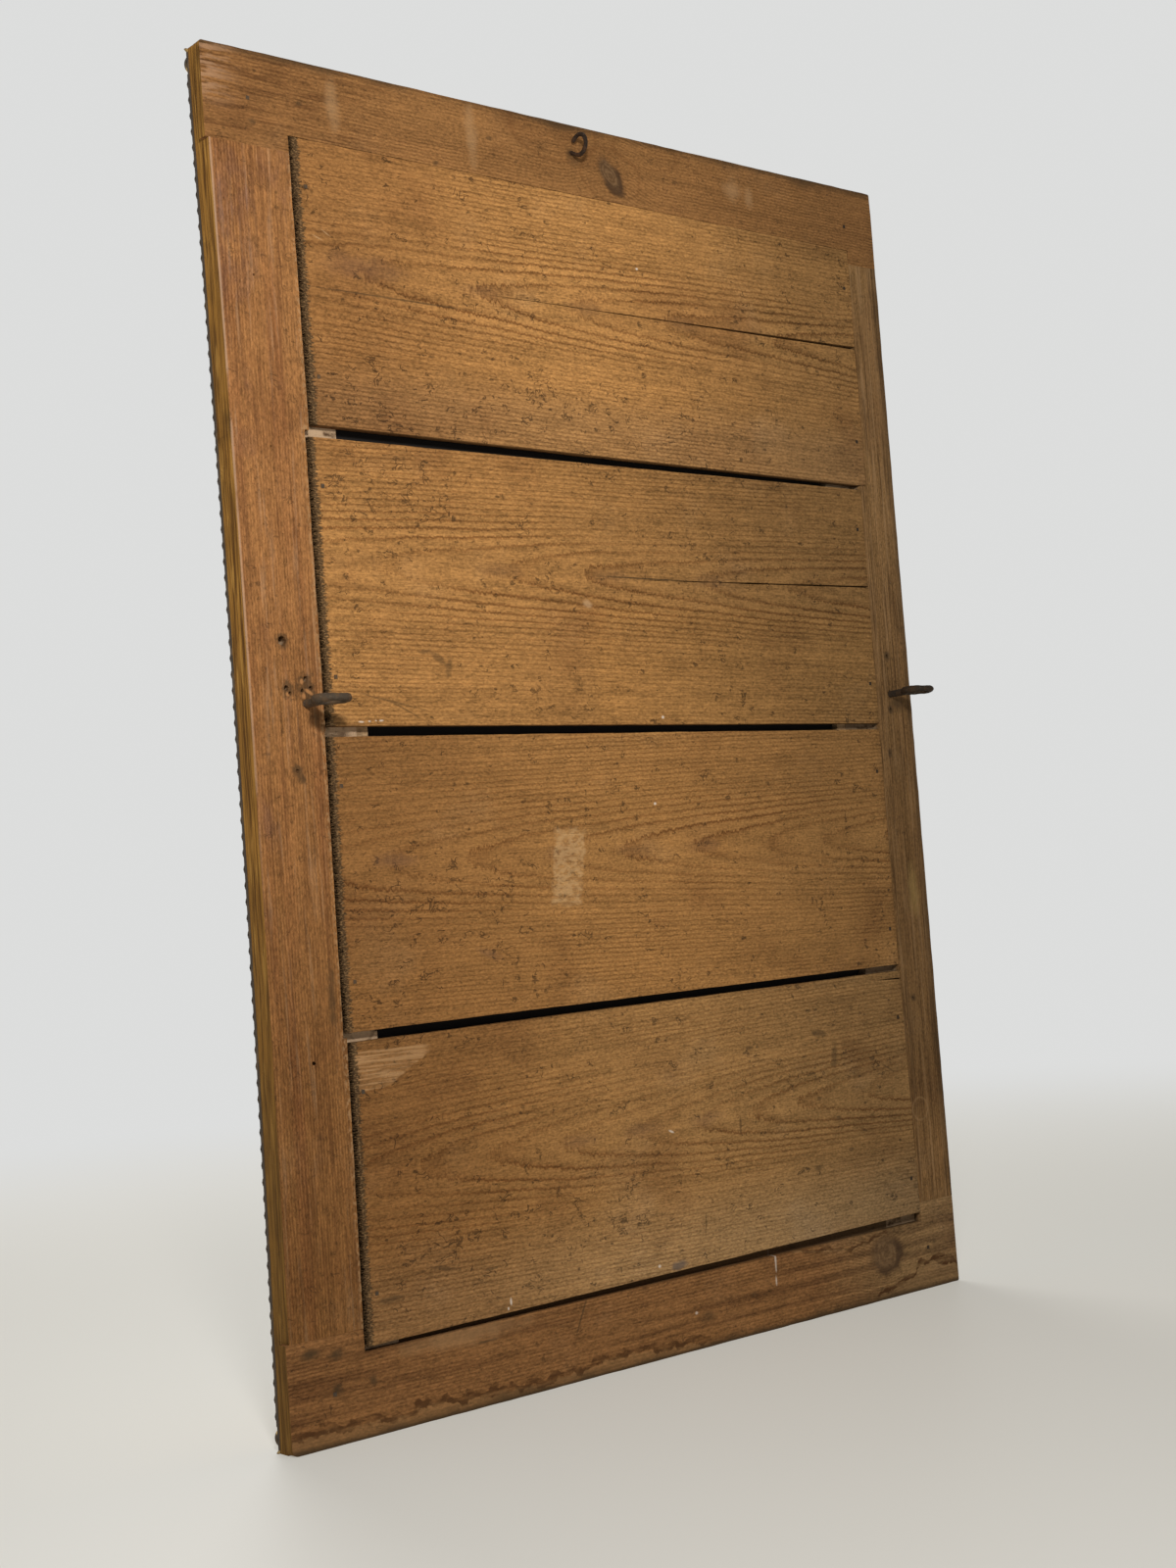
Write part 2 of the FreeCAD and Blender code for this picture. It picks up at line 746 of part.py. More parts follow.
def make_hook():
    """A forged hook: straight out of the rail, then round and back towards it at the top."""
    body = new_body("hanging_hook")
    place(body, cell("hook_offset"), back_plane, height - cell("hook_drop"))
    lead, bend = cell("hook_lead"), cell("hook_bend")
    inside, tip_turn = cell("hook_in"), cell("hook_tip_turn")
    path = new_sketch(body, "YZ_Plane", "path")
    start = FreeCAD.Vector(-inside.value, 0, 0)
    bend_start = FreeCAD.Vector(lead.value, 0, 0)
    centre = FreeCAD.Vector(lead.value, bend.value, 0)
    tip_angle = math.radians(90 + tip_turn.value)
    path.addGeometry(Part.LineSegment(start, bend_start), False)
    path.addGeometry(Part.ArcOfCircle(
        Part.Circle(centre, FreeCAD.Vector(0, 0, 1), bend.value), -math.pi / 2, tip_angle), False)
    path.addConstraint(Sketcher.Constraint("Horizontal", 0))
    path.addConstraint(Sketcher.Constraint("Tangent", 0, 2, 1, 1))
    pin(path, 0, 1, (-inside, ZERO))
    lead_run = path.addConstraint(Sketcher.Constraint("DistanceX", -1, 1, 0, 2, lead.value))
    path.setExpression(f"Constraints[{lead_run}]", lead.formula)
    radius = path.addConstraint(Sketcher.Constraint("Radius", 1, bend.value))
    path.setExpression(f"Constraints[{radius}]", bend.formula)
    tip_x = path.addConstraint(Sketcher.Constraint(
        "DistanceX", 1, 2, 1, 3, bend.value * math.sin(math.radians(tip_turn.value))))
    path.setExpression(f"Constraints[{tip_x}]", f"{bend.formula} * sin({tip_turn.formula} * 1 deg)")
    wire = new_sketch(body, "XZ_Plane", "wire", inside)
    faceted_round(wire, (ZERO, ZERO), cell("hook_wire"), FORGED_SIDES)
    pipe = body.newObject("PartDesign::AdditivePipe", "hanging_hook_pipe")
    pipe.Profile = wire
    pipe.Spine = (path, ["Edge1", "Edge2"])
    doc.recompute()
    return body


def make_pieces():
    pieces = [
        make_rail("top_rail", top_rail_width, cell("top_shelf"), height - top_rail_width, 1),
        make_rail("bottom_rail", bottom_rail_width, cell("bottom_shelf"), bottom_rail_width, -1),
        make_stile("right_stile", 1, right_stile_width, cell("right_eye_side"),
                   cell("right_eye_height"), cell("right_inset"), bow_radius),
        make_stile("left_stile", -1, left_stile_width, cell("left_eye_side"), cell("left_eye_height")),
    ]
    hook_hole = new_sketch(pieces[0], "XZ_Plane", "hook")
    circle(hook_hole, (cell("hook_offset"), top_rail_width - cell("hook_drop")),
           cell("hook_wire") + cell("hook_play") * 2)
    pocket(pieces[0], hook_hole, cell("hook_in") + cell("hook_play"))
    for number, (lower, upper) in enumerate(board_spans(), 1):
        pieces.append(make_board(number, lower, upper))
    pieces.append(make_nails("board_nails", board_nail_places(1) + board_nail_places(-1)))
    pieces.append(make_nails("corner_nails", corner_nail_places(1) + corner_nail_places(-1)))
    pieces.append(make_plate())
    pieces.append(make_blocks())
    for side in STICKS:
        pieces.append(make_moulding(side))
        pieces.append(make_slip(side))
        pieces.append(make_pearl_strip(side))
    pieces.append(make_corner_pearls())
    pieces.append(make_side_eyes())
    pieces.append(make_hook())
    return pieces


pieces = make_pieces()
doc.recompute()
for item in doc.Objects:
    if "Invalid" in item.State or "Error" in item.State:
        raise RuntimeError(f"{item.Label} failed: {item.State}")
for piece in pieces:
    if piece.Shape.isNull() or not piece.Shape.isValid():
        raise RuntimeError(f"{piece.Label} has no valid shape")

os.makedirs("parts", exist_ok=True)
for piece in pieces:
    piece.Shape.exportStep(f"parts/{piece.Label}.step")
    print(piece.Label, len(piece.Shape.Solids), round(piece.Shape.Volume / 1000, 2), "cm3")
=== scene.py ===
import math
import random
from contextlib import contextmanager

import bmesh
import bpy
from mathutils import Matrix, Vector


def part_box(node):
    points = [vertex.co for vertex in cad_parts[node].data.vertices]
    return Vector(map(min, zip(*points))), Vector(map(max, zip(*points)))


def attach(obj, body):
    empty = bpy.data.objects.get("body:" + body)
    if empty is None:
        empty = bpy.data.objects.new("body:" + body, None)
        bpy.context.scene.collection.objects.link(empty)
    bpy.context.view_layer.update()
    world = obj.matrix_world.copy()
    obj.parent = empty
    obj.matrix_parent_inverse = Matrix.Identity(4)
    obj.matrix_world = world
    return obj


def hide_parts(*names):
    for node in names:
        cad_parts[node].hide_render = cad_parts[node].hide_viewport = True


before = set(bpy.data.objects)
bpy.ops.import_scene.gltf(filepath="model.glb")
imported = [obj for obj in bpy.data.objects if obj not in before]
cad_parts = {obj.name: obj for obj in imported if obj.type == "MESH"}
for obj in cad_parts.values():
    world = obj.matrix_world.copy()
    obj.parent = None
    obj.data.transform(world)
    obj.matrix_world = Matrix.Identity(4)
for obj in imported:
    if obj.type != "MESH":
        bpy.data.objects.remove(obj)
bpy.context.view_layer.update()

# An old gilt wall mirror, seen from its back: aged pine frame and backboards, rusty iron,
# and on the front a worn gilt moulding with a border of pearls. Lengths are in metres.

MM = 0.001
HALF_WIDTH = 0.375
HEIGHT = 1.060
MID_HEIGHT = HEIGHT / 2
BACK = 0.010
FRONT = -0.010
RIGHT_INSET = 2 * MM
RIGHT_BOW = 4.7 * MM
BOW_RADIUS = (MID_HEIGHT ** 2 + RIGHT_BOW ** 2) / (2 * RIGHT_BOW)
SHELF = 1 * MM


# Working by hand: one piece at a time

def only(piece):
    bpy.ops.object.select_all(action="DESELECT")
    piece.select_set(True)
    bpy.context.view_layer.objects.active = piece


@contextmanager
def at_the_bench(piece, kind="FACE"):
    """Edit mode on one piece, with nothing picked yet."""
    only(piece)
    bpy.ops.object.mode_set(mode="EDIT")
    bpy.ops.mesh.select_mode(type=kind)
    bpy.ops.mesh.select_all(action="DESELECT")
    yield
    bpy.ops.object.mode_set(mode="OBJECT")


def pick(piece, kind, test):
    """Select the verts, edges or faces that pass the test."""
    bpy.ops.mesh.select_all(action="DESELECT")
    mesh = bmesh.from_edit_mesh(piece.data)
    for part in getattr(mesh, kind):
        if test(part):
            part.select_set(True)
    bmesh.update_edit_mesh(piece.data)


def middle(part):
    """Middle of a face or an edge."""
    return sum((corner.co for corner in part.verts), Vector()) / len(part.verts)


def apply_modifier(piece, kind, **settings):
    only(piece)
    modifier = piece.modifiers.new(kind.lower(), kind)
    for name, value in settings.items():
        setattr(modifier, name, value)
    bpy.ops.object.modifier_apply(modifier=modifier.name)


def join(pieces, name):
    only(pieces[0])
    for piece in pieces[1:]:
        piece.select_set(True)
    bpy.ops.object.join()
    pieces[0].name = name
    pieces[0].data.name = name
    return pieces[0]


def settle(piece):
    """Put the piece's place and turn into its mesh."""
    only(piece)
    bpy.ops.object.transform_apply(location=True, rotation=True, scale=True)


def smooth(piece, degrees=35):
    only(piece)
    bpy.ops.object.shade_smooth_by_angle(angle=math.radians(degrees))


def blank_from(node):
    """A copy of a CAD node's mesh, merged, with its flat faces whole again."""
    piece = bpy.data.objects.new(f"{node}_piece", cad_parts[node].data.copy())
    bpy.context.scene.collection.objects.link(piece)
    with at_the_bench(piece):
        bpy.ops.mesh.select_all(action="SELECT")
        bpy.ops.mesh.remove_doubles(threshold=0.01 * MM)
        bpy.ops.mesh.dissolve_limited(angle_limit=math.radians(0.1))
    return piece


def saw_lines(piece, axis, start, end, step):
    """Cut lines square across the piece, step apart, so that its surface can wander."""
    normal = Vector((axis == "X", axis == "Y", axis == "Z"))
    place = start
    with at_the_bench(piece):
        while place < end:
            bpy.ops.mesh.select_all(action="SELECT")
            bpy.ops.mesh.bisect(plane_co=normal * place, plane_no=normal)
            place += step


def ease_arrises(piece, width):
    apply_modifier(piece, "BEVEL", width=width, segments=2, limit_method="ANGLE",
                   use_clamp_overlap=True)


def hand_planed(piece, strength, size):
    """The small waves that hand tools and wear leave."""
    waves = bpy.data.textures.new(f"{piece.name}_waves", "CLOUDS")
    waves.noise_scale = size
    waves.noise_depth = 1
    apply_modifier(piece, "DISPLACE", texture=waves, texture_coords="LOCAL",
                   strength=strength, mid_level=0.5)


def round_corner(piece, x, z, radius):
    """Round the corner that runs from back to front at x, z."""
    with at_the_bench(piece, "EDGE"):
        def at_corner(edge):
            return all(abs(v.co.x - x) < 0.3 * MM and abs(v.co.z - z) < 0.3 * MM for v in edge.verts)
        pick(piece, "edges", at_corner)
        bpy.ops.mesh.bevel(offset=radius, segments=5)


def drill(piece, holes):
    """Old nail and screw holes in the back: x, z, radius and depth of each."""
    bits = []
    for number, (x, z, radius, depth) in enumerate(holes):
        bpy.ops.object.select_all(action="DESELECT")
        bpy.ops.mesh.primitive_cone_add(
            vertices=9, radius1=radius, radius2=radius * 0.8, depth=depth * 2,
            location=(x, BACK, z), rotation=(math.pi / 2, number * 0.7, 0))
        bit = bpy.context.object
        settle(bit)
        with at_the_bench(bit):
            bpy.ops.mesh.select_all(action="SELECT")
            bpy.ops.transform.vertex_random(offset=radius * 0.22, seed=number)
        bits.append(bit)
    bit = join(bits, "drill_bits")
    apply_modifier(piece, "BOOLEAN", object=bit, operation="DIFFERENCE", solver="EXACT")
    bpy.data.objects.remove(bit)


def finish_piece(piece, material, slot, *nodes):
    piece.data.materials.clear()
    piece.data.materials.append(material)
    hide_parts(*nodes)
    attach(piece, "root")


def put_on(node, material):
    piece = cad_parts[node]
    piece.data.materials.clear()
    piece.data.materials.append(material)


# Finishes: each is laid out node by node on object coordinates

class Finish:
    """A material under way. Each step adds a node and hands back its output."""

    def __init__(self, name, roughness, metallic=0.0, specular=0.5):
        self.material = bpy.data.materials.new(name)
        self.material.use_nodes = True
        self.tree = self.material.node_tree
        self.shader = self.tree.nodes["Principled BSDF"]
        self.shader.inputs["Roughness"].default_value = roughness
        self.shader.inputs["Metallic"].default_value = metallic
        self.shader.inputs["Specular IOR Level"].default_value = specular
        self.place = self.tree.nodes.new("ShaderNodeTexCoord").outputs["Object"]
        self.x, self.y, self.z = self.parts_of(self.place)
        facing = self.tree.nodes.new("ShaderNodeNewGeometry").outputs["Normal"]
        self.facing_x, _, self.facing_z = self.parts_of(facing)
        self.rough_edges = {}

    def node(self, kind, inputs, output=0, **settings):
        """A new node with its inputs linked or set."""
        node = self.tree.nodes.new(kind)
        for name, value in settings.items():
            setattr(node, name, value)
        for name, value in inputs.items():
            if isinstance(value, bpy.types.NodeSocket):
                self.tree.links.new(value, node.inputs[name])
            else:
                node.inputs[name].default_value = value
        return node.outputs[output]

    def parts_of(self, vector):
        node = self.tree.nodes.new("ShaderNodeSeparateXYZ")
        self.tree.links.new(vector, node.inputs[0])
        return node.outputs[0], node.outputs[1], node.outputs[2]

    def work(self, operation, *values):
        return self.node("ShaderNodeMath", dict(enumerate(values)), operation=operation)

    def add(self, first, *others):
        for other in others:
            first = self.work("ADD", first, other)
        return first

    def less(self, a, b):
        return self.work("SUBTRACT", a, b)

    def times(self, first, *others):
        for other in others:
            first = self.work("MULTIPLY", first, other)
        return first

    def either(self, first, *others):
        for other in others:
            first = self.work("MAXIMUM", first, other)
        return first

    def size(self, a):
        return self.work("ABSOLUTE", a)

    def length(self, a, b):
        return self.work("SQRT", self.add(self.times(a, a), self.times(b, b)))

    def over(self, value, low, high, bottom=0.0, top=1.0):
        """Bottom below low, top above high, smooth between."""
        return self.node("ShaderNodeMapRange", {
            "Value": value, "From Min": low, "From Max": high, "To Min": bottom, "To Max": top},
            interpolation_type="SMOOTHSTEP")

    def under(self, value, low, high, top=1.0):
        """Top below low, 0 above high, smooth between."""
        return self.over(value, low, high, top, 0.0)

    def within(self, value, low, high, soft):
        """1 between low and high, fading out over soft on either side."""
        return self.times(self.over(value, low - soft, low), self.under(value, high, high + soft))

    def grain(self, scale, shift=(0, 0, 0), detail=2.0, roughness=0.5, distortion=0.0):
        """Noise from 0 to 1 with 1/scale as its size along x, y and z."""
        place = self.node("ShaderNodeMapping", {"Vector": self.place, "Location": shift, "Scale": scale})
        return self.node("ShaderNodeTexNoise", {
            "Vector": place, "Scale": 1.0, "Detail": detail,
            "Roughness": roughness, "Distortion": distortion})

    def swing(self, noise, amount):
        """Noise turned into a length either side of nothing."""
        return self.times(self.less(noise, 0.5), amount)

    def blend(self, share, under, over, kind="MIX"):
        """Two colours mixed, with this share of the one over the other."""
        node = self.tree.nodes.new("ShaderNodeMix")
        node.data_type = "RGBA"
        node.blend_type = kind
        for index, value in ((0, share), (6, under), (7, over)):
            if isinstance(value, bpy.types.NodeSocket):
                self.tree.links.new(value, node.inputs[index])
            else:
                node.inputs[index].default_value = value if index == 0 else (*value, 1.0)
        return node.outputs[2]

    def shade(self, colour, factor):
        """Colour made lighter or darker by a factor."""
        grey = self.node("ShaderNodeCombineColor", {0: factor, 1: factor, 2: factor})
        return self.blend(1.0, colour, grey, "MULTIPLY")

    def link(self, socket, value):
        self.tree.links.new(value, self.shader.inputs[socket])

    def relief(self, height, depth):
        """Bump whose full height is depth."""
        bump = self.node("ShaderNodeBump", {"Height": height, "Distance": depth, "Strength": 1.0})
        self.link("Normal", bump)

    def oval(self, x, z, half_x, half_z, turn=0.0, ragged=0.35, size=60.0):
        """How far a point is from the middle of an uneven oval on the back: 1 at its edge."""
        across = self.less(self.x, x)
        up = self.less(self.z, z)
        cos, sin = math.cos(turn), math.sin(turn)
        along = self.add(self.times(across, cos / half_x), self.times(up, sin / half_x))
        square = self.less(self.times(up, cos / half_z), self.times(across, sin / half_z))
        if size not in self.rough_edges:
            self.rough_edges[size] = self.grain((size, size, size), (size, 0, size), detail=3.0)
        return self.add(self.length(along, square), self.swing(self.rough_edges[size], 2 * ragged))

    def spot(self, *oval, soft=0.4, **settings):
        return self.under(self.oval(*oval, **settings), 1 - soft, 1 + soft)

    def level_line(self, places):
        """A height on the back that passes through the places, each x and z in mm."""
        node = self.tree.nodes.new("ShaderNodeFloatCurve")
        self.tree.links.new(self.over_width(), node.inputs["Value"])
        points = node.mapping.curves[0].points
        while len(points) < len(places):
            points.new(0.5, 0.5)
        for point, (x, z) in zip(points, sorted(places)):
            point.location = ((x * MM + HALF_WIDTH) / (2 * HALF_WIDTH), z / 100)
        node.mapping.update()
        return self.times(node.outputs[0], 100 * MM)

    def over_width(self):
        """0 at the frame's left edge, 1 at its right edge."""
        return self.times(self.add(self.x, HALF_WIDTH), 0.5 / HALF_WIDTH)

    def sides(self):
        """How far a point lies inside the frame's outer edge, measured square to it."""
        return self.work("MINIMUM", self.less(HALF_WIDTH, self.size(self.x)),
                         self.less(MID_HEIGHT, self.size(self.less(self.z, MID_HEIGHT))))


class Pine(Finish):
    """Old bare pine with growth rings, fibres, dirt and stains. colour and height build up."""

    DIRT = (0.040, 0.023, 0.011)

    def __init__(self, name, grain, heart, pith, slope, ring, early, late, seed, line, knots=()):
        """The growth rings run round a pith along the grain: at heart across the piece, pith
        deep below the back at the middle and rising by slope. They bend round the knots."""
        super().__init__(name, 0.88, specular=0.08)
        self.shift = (seed * 3.1, seed * 1.7, seed * 2.3)
        self.level = grain == "X"
        along, across = (self.x, self.z) if self.level else (self.z, self.x)
        wander = self.swing(self.fibres(3, 3, 11), 8 * MM)
        teeth = self.swing(self.fibres(420, 60, 110, detail=1.0), 1.7 * MM)
        side = self.add(self.less(across, heart), wander)
        below = self.add(self.times(along, slope), self.less(pith + BACK, self.y),
                         self.swing(self.fibres(6, 6, 5), 2.5 * MM))
        radius = self.length(side, below)
        steep = self.either(self.work("DIVIDE", self.length(side, self.times(below, slope)), radius), 0.03)
        radius = self.add(radius, teeth)
        for x, z, half_x, half_z, push in knots:
            reach = self.oval(x, z, half_x, half_z, ragged=0.15)
            radius = self.add(radius, self.times(self.under(reach, 0.0, 2.6), push))
        year = self.work("FRACT", self.work("DIVIDE", radius, ring))
        off_line = self.times(self.size(self.less(year, 0.5)), self.work("DIVIDE", ring, steep))
        broad = self.under(self.size(side), 14 * MM, 60 * MM)
        dark_line = self.under(off_line, 0.25 * MM, self.add(self.times(broad, 0.9 * MM), 1.0 * MM))
        soft_side = self.times(self.over(year, 0.10, 0.48), self.under(year, 0.50, 0.62), 0.5)
        strong = self.over(self.fibres(5, 5, 26), 0.32, 0.66, 0.40, 1.0)
        self.summer = self.times(self.either(dark_line, soft_side), strong,
                                 self.add(self.times(broad, 0.45), 0.60))
        self.colour = self.blend(self.times(self.summer, line), early, late)
        fine = self.fibres(70, 900, 950, detail=3.0, roughness=0.6)
        felt = self.fibres(320, 700, 620, detail=2.0, roughness=0.65)
        streak = self.fibres(5, 90, 150)
        cloud = self.fibres(26, 50, 62, detail=3.0, roughness=0.6)
        tone = self.add(self.times(fine, 1.10), self.times(felt, 1.55), self.times(streak, 0.60),
                        self.times(cloud, 0.45), -0.85)
        self.colour = self.shade(self.colour, tone)
        self.height = self.add(self.times(fine, 0.4), self.times(felt, 0.6), self.times(self.summer, 0.3))

    def fibres(self, run, depth, width, **settings):
        """Noise drawn out along the grain."""
        scale = (run, depth, width) if self.level else (width, depth, run)
        return self.grain(scale, self.shift, **settings)

    def tint(self, share, colour):
        """Cover a share of the wood with a colour."""
        self.colour = self.blend(share, self.colour, colour)

    def wash(self, share, factors):
        """Darken or brighten the wood by factors for red, green and blue, and keep its figure."""
        self.colour = self.blend(share, self.colour, factors, "MULTIPLY")

    def weather(self, patches, specks, hairs, busy=0.0):
        """Uneven age, dark specks and torn, curling fibres, which crowd where it is busy."""
        a, b, c = self.shift
        broad = self.grain((7, 7, 9), self.shift, detail=4.0, roughness=0.62)
        self.wash(self.over(broad, 0.50, 0.74, top=0.45 * patches), (0.52, 0.44, 0.46))
        pale = self.grain((10, 10, 14), (c, 4.0, a), detail=4.0, roughness=0.62)
        self.wash(self.over(pale, 0.54, 0.76, top=0.32 * patches), (1.12, 1.28, 1.67))
        grimy = self.over(self.grain((9, 9, 9), (b, 9.0, c), detail=3.0), 0.36, 0.66, 0.15, 1.0)
        dots = self.over(self.grain((330, 330, 430), self.shift, detail=2.0, roughness=0.6), 0.66, 0.71)
        marks = self.times(dots, grimy, specks)
        crowd = self.add(self.times(grimy, 0.05), self.times(busy, 0.06))
        for size, share in ((72.0, 0.690), (125.0, 0.680)):
            thread = self.grain((size, size, 1.25 * size), (b, size, a), detail=2.0, distortion=0.9)
            torn = self.under(self.size(self.less(thread, 0.5)), 0.00010 * size, 0.00036 * size)
            some = self.add(self.grain((0.7 * size, size, size), (2.0, a, size), detail=1.0), crowd)
            marks = self.either(marks, self.times(torn, self.over(some, share, share + 0.05), hairs))
        self.tint(self.times(marks, 0.66), self.DIRT)
        self.height = self.less(self.height, self.times(marks, 0.8))

    def dirty_ends(self, facing, amount):
        """Cut ends are darker and dirtier than the faces."""
        ends = self.over(self.size(facing), 0.55, 0.85)
        torn = self.over(self.grain((900, 260, 260), self.shift, detail=2.0), 0.40, 0.62)
        ends_colour = self.blend(torn, (0.050, 0.030, 0.014), (0.185, 0.108, 0.046))
        self.colour = self.blend(self.times(ends, amount), self.colour, ends_colour)

    def marks(self, places, colour, strength, ragged=0.6, soft=0.5, size=170.0):
        """Small marks of one kind: x, z, half length and half height in mm, and turn in degrees."""
        spots = [self.spot(x * MM, z * MM, half_x * MM, half_z * MM, math.radians(turn), ragged, size,
                           soft=soft)
                 for x, z, half_x, half_z, turn in places]
        self.tint(self.times(self.either(*spots), strength), colour)

    def figure(self, x, z, half_x, half_z, strength):
        """A growth line that swings round in an arc."""
        reach = self.oval(x, z, half_x, half_z, ragged=0.14)
        line = self.under(self.size(self.less(reach, 1.0)), 0.01, 0.09, strength)
        self.tint(line, (0.150, 0.060, 0.018))

    def knot(self, x, z, half_x, half_z, turn, rim, ringed=0.45):
        """A grown-over knot: grey-brown and mottled, darker towards its edge, with painted shade on its
        rim's lower side.
        """
        reach = self.oval(x, z, half_x, half_z, turn, 0.30, 90.0)
        mottle = self.grain((240, 240, 240), (x * 90, 0, z * 70), detail=3.0, roughness=0.6)
        rings = self.size(self.less(self.work("FRACT", self.times(reach, 3.4)), 0.5))
        mottle = self.add(self.times(mottle, 0.75), self.times(rings, ringed), 0.11 - ringed / 4)
        heart = self.blend(self.over(mottle, 0.36, 0.64), (0.095, 0.053, 0.025), (0.190, 0.110, 0.052))
        self.colour = self.blend(self.under(reach, 0.70, 1.15, 0.80), self.colour, heart)
        edge = self.under(self.size(self.less(reach, 0.95)), 0.0, 0.45, rim)
        # The rim is darker down and towards the narrow stile: painted shade
        lower_side = self.less(self.less(x, self.x), self.less(self.z, z))
        painted_rim_shade = self.over(lower_side, -0.6 * half_z, 0.6 * half_z, 0.35, 1.0)
        self.tint(self.times(edge, painted_rim_shade), (0.052, 0.028, 0.015))

    def tide_mark(self, places, width, strength, below=30 * MM, pale=0.42):
        """The dark edge of dried water, and paler wood for some way below it."""
        waver = self.swing(self.grain((120, 0, 120), (3.0, 0, 1.0), detail=3.0), 7 * MM)
        above = self.add(self.less(self.z, self.level_line(places)), waver)
        uneven = self.over(self.grain((55, 0, 55), (9.0, 0, 4.0), detail=3.0), 0.35, 0.65,
                           -0.8 * width, 0.6 * width)
        rim = self.within(self.add(above, uneven), -width, -0.5 * MM, 1.6 * MM)
        x_low, x_high = min(places)[0] * MM, max(places)[0] * MM
        here = self.within(self.x, x_low, x_high, 12 * MM)
        dried = self.within(above, -width - below, -width, 0.5 * width)
        self.tint(self.times(dried, here, pale), (0.44, 0.262, 0.112))
        faint = self.over(self.grain((60, 0, 200), (1.0, 0, 7.0), detail=3.0), 0.36, 0.60, 0.35, 1.0)
        self.tint(self.times(rim, here, faint, strength), (0.070, 0.029, 0.010))

    def done(self, depth=0.40 * MM):
        """The finished material, with a relief this deep."""
        self.link("Base Color", self.colour)
        self.relief(self.height, depth)
        return self.material


# Colours of the woods
BOARD_EARLY = (0.425, 0.205, 0.063)
BOARD_LATE = (0.170, 0.066, 0.018)
STILE_EARLY = (0.340, 0.152, 0.050)
STILE_LATE = (0.165, 0.060, 0.019)
OLD_STILE_EARLY = (0.235, 0.128, 0.049)
OLD_STILE_LATE = (0.110, 0.052, 0.018)
RAIL_EARLY = (0.300, 0.141, 0.046)
RAIL_LATE = (0.135, 0.053, 0.017)
LOW_RAIL_EARLY = (0.268, 0.125, 0.043)
LOW_RAIL_LATE = (0.140, 0.055, 0.018)
PALE_WOOD = (0.56, 0.345, 0.175)
PLUM_GREY = (0.125, 0.066, 0.044)
# Soot and dirt; also used for painted shadow below the eyes and at the hook
SOOT_AND_SHADOW = (0.060, 0.036, 0.017)
WHITE_SPLASH = (0.80, 0.70, 0.58)
# How far age and dirt, and painted shade where the light falls off, darken the wood in red, green and blue
BROWN_AGE_AND_SHADE = (0.50, 0.45, 0.45)
OLIVE_AGE_AND_SHADE = (0.38, 0.45, 0.56)


def tear_end(board, end, seed):
    """Torn fibres on the sawn end that faces the wide stile."""
    chance = random.Random(seed)

    def on_end(face):
        return face.normal.x > 0.9 and middle(face).x > end - 4 * MM

    with at_the_bench(board):
        pick(board, "faces", on_end)
        bpy.ops.mesh.subdivide(number_cuts=8)
        for length, lift, share in (
                (1.6 * MM, 0.2 * MM, 0.26), (3.2 * MM, 0.3 * MM, 0.26), (4.8 * MM, 0.5 * MM, 0.18)):
            pick(board, "faces", lambda face: on_end(face) and chance.random() < share)
            bpy.ops.mesh.extrude_faces_indiv()
            bpy.ops.transform.translate(value=(length, lift, chance.uniform(-0.5, 0.5) * MM))
            bpy.ops.mesh.merge(type="COLLAPSE")
        pick(board, "verts", lambda corner: corner.co.x > end - 4 * MM)
        bpy.ops.transform.vertex_random(offset=0.5 * MM, seed=seed)


RING = 3.1 * MM
PITH_DEPTH = 18.5 * RING
END_GAP = 5 * MM
# Edge of the wide stile's land beside each board, at the board's lower and upper edge
LAND_EDGES = {1: (0.2997, 0.3008), 2: (0.3034, 0.3036), 3: (0.3062, 0.3044), 4: (0.3060, 0.3032)}


def mark_top_board(wood):
    """A smudge, a hairline and nicks towards the wide stile, grey along the lower edge, a splash."""
    wood.marks([(242, 902, 36, 9, 0)], PLUM_GREY, 0.30, ragged=0.8, soft=0.7, size=70.0)
    wood.marks([(212, 881, 80, 0.8, 0)], SOOT_AND_SHADOW, 0.65, ragged=0.5)
    wood.wash(wood.under(wood.z, 0.795, 0.835, 0.32), (0.60, 0.72, 1.10))
    wood.marks([(-57, 942, 1.2, 0.9, 0)], WHITE_SPLASH, 0.85)
    wood.marks([(280, 921, 5, 0.6, 20), (272, 926, 4, 0.5, 30)], PALE_WOOD, 0.45)


def mark_second_board(wood):
    """A cleaner lower part, scratches, rust stain and painted shadow below the eye, a hairline on from the
    split, splashes.
    """
    clean = wood.times(wood.under(wood.x, 0.015, 0.040), wood.under(wood.z, 0.630, 0.655))
    wood.wash(wood.times(clean, 0.30), (1.28, 1.24, 1.10))
    wood.marks([(190, 590, 10, 3, 35), (182, 583, 3, 7, 10), (205, 596, 5, 2, 0)], SOOT_AND_SHADOW, 0.50, ragged=0.9)
    wood.marks([(240, 556, 30, 0.8, 12), (228, 550, 16, 0.7, 25)], SOOT_AND_SHADOW, 0.50)
    # Below the eye: partly rust stain, partly painted shadow of the eye
    wood.marks([(294, 541, 7, 5, 0)], SOOT_AND_SHADOW, 0.50, ragged=0.6, soft=0.9, size=90.0)
    wood.marks([(30, 640, 5, 3, 20)], PALE_WOOD, 0.6)
    wood.marks([(-38, 664.6, 44, 0.7, 0)], SOOT_AND_SHADOW, 0.80, ragged=0.4)
    wood.marks([(-47, 543, 1.5, 1.2, 0)], WHITE_SPLASH, 0.8)
    wood.marks([(270, 540, 2.4, 0.6, 0), (262, 540.5, 1.4, 0.6, 0), (256, 541, 0.9, 0.5, 0),
                (251, 541, 1.9, 0.7, 0)], WHITE_SPLASH, 0.60, ragged=1.0, size=420.0)


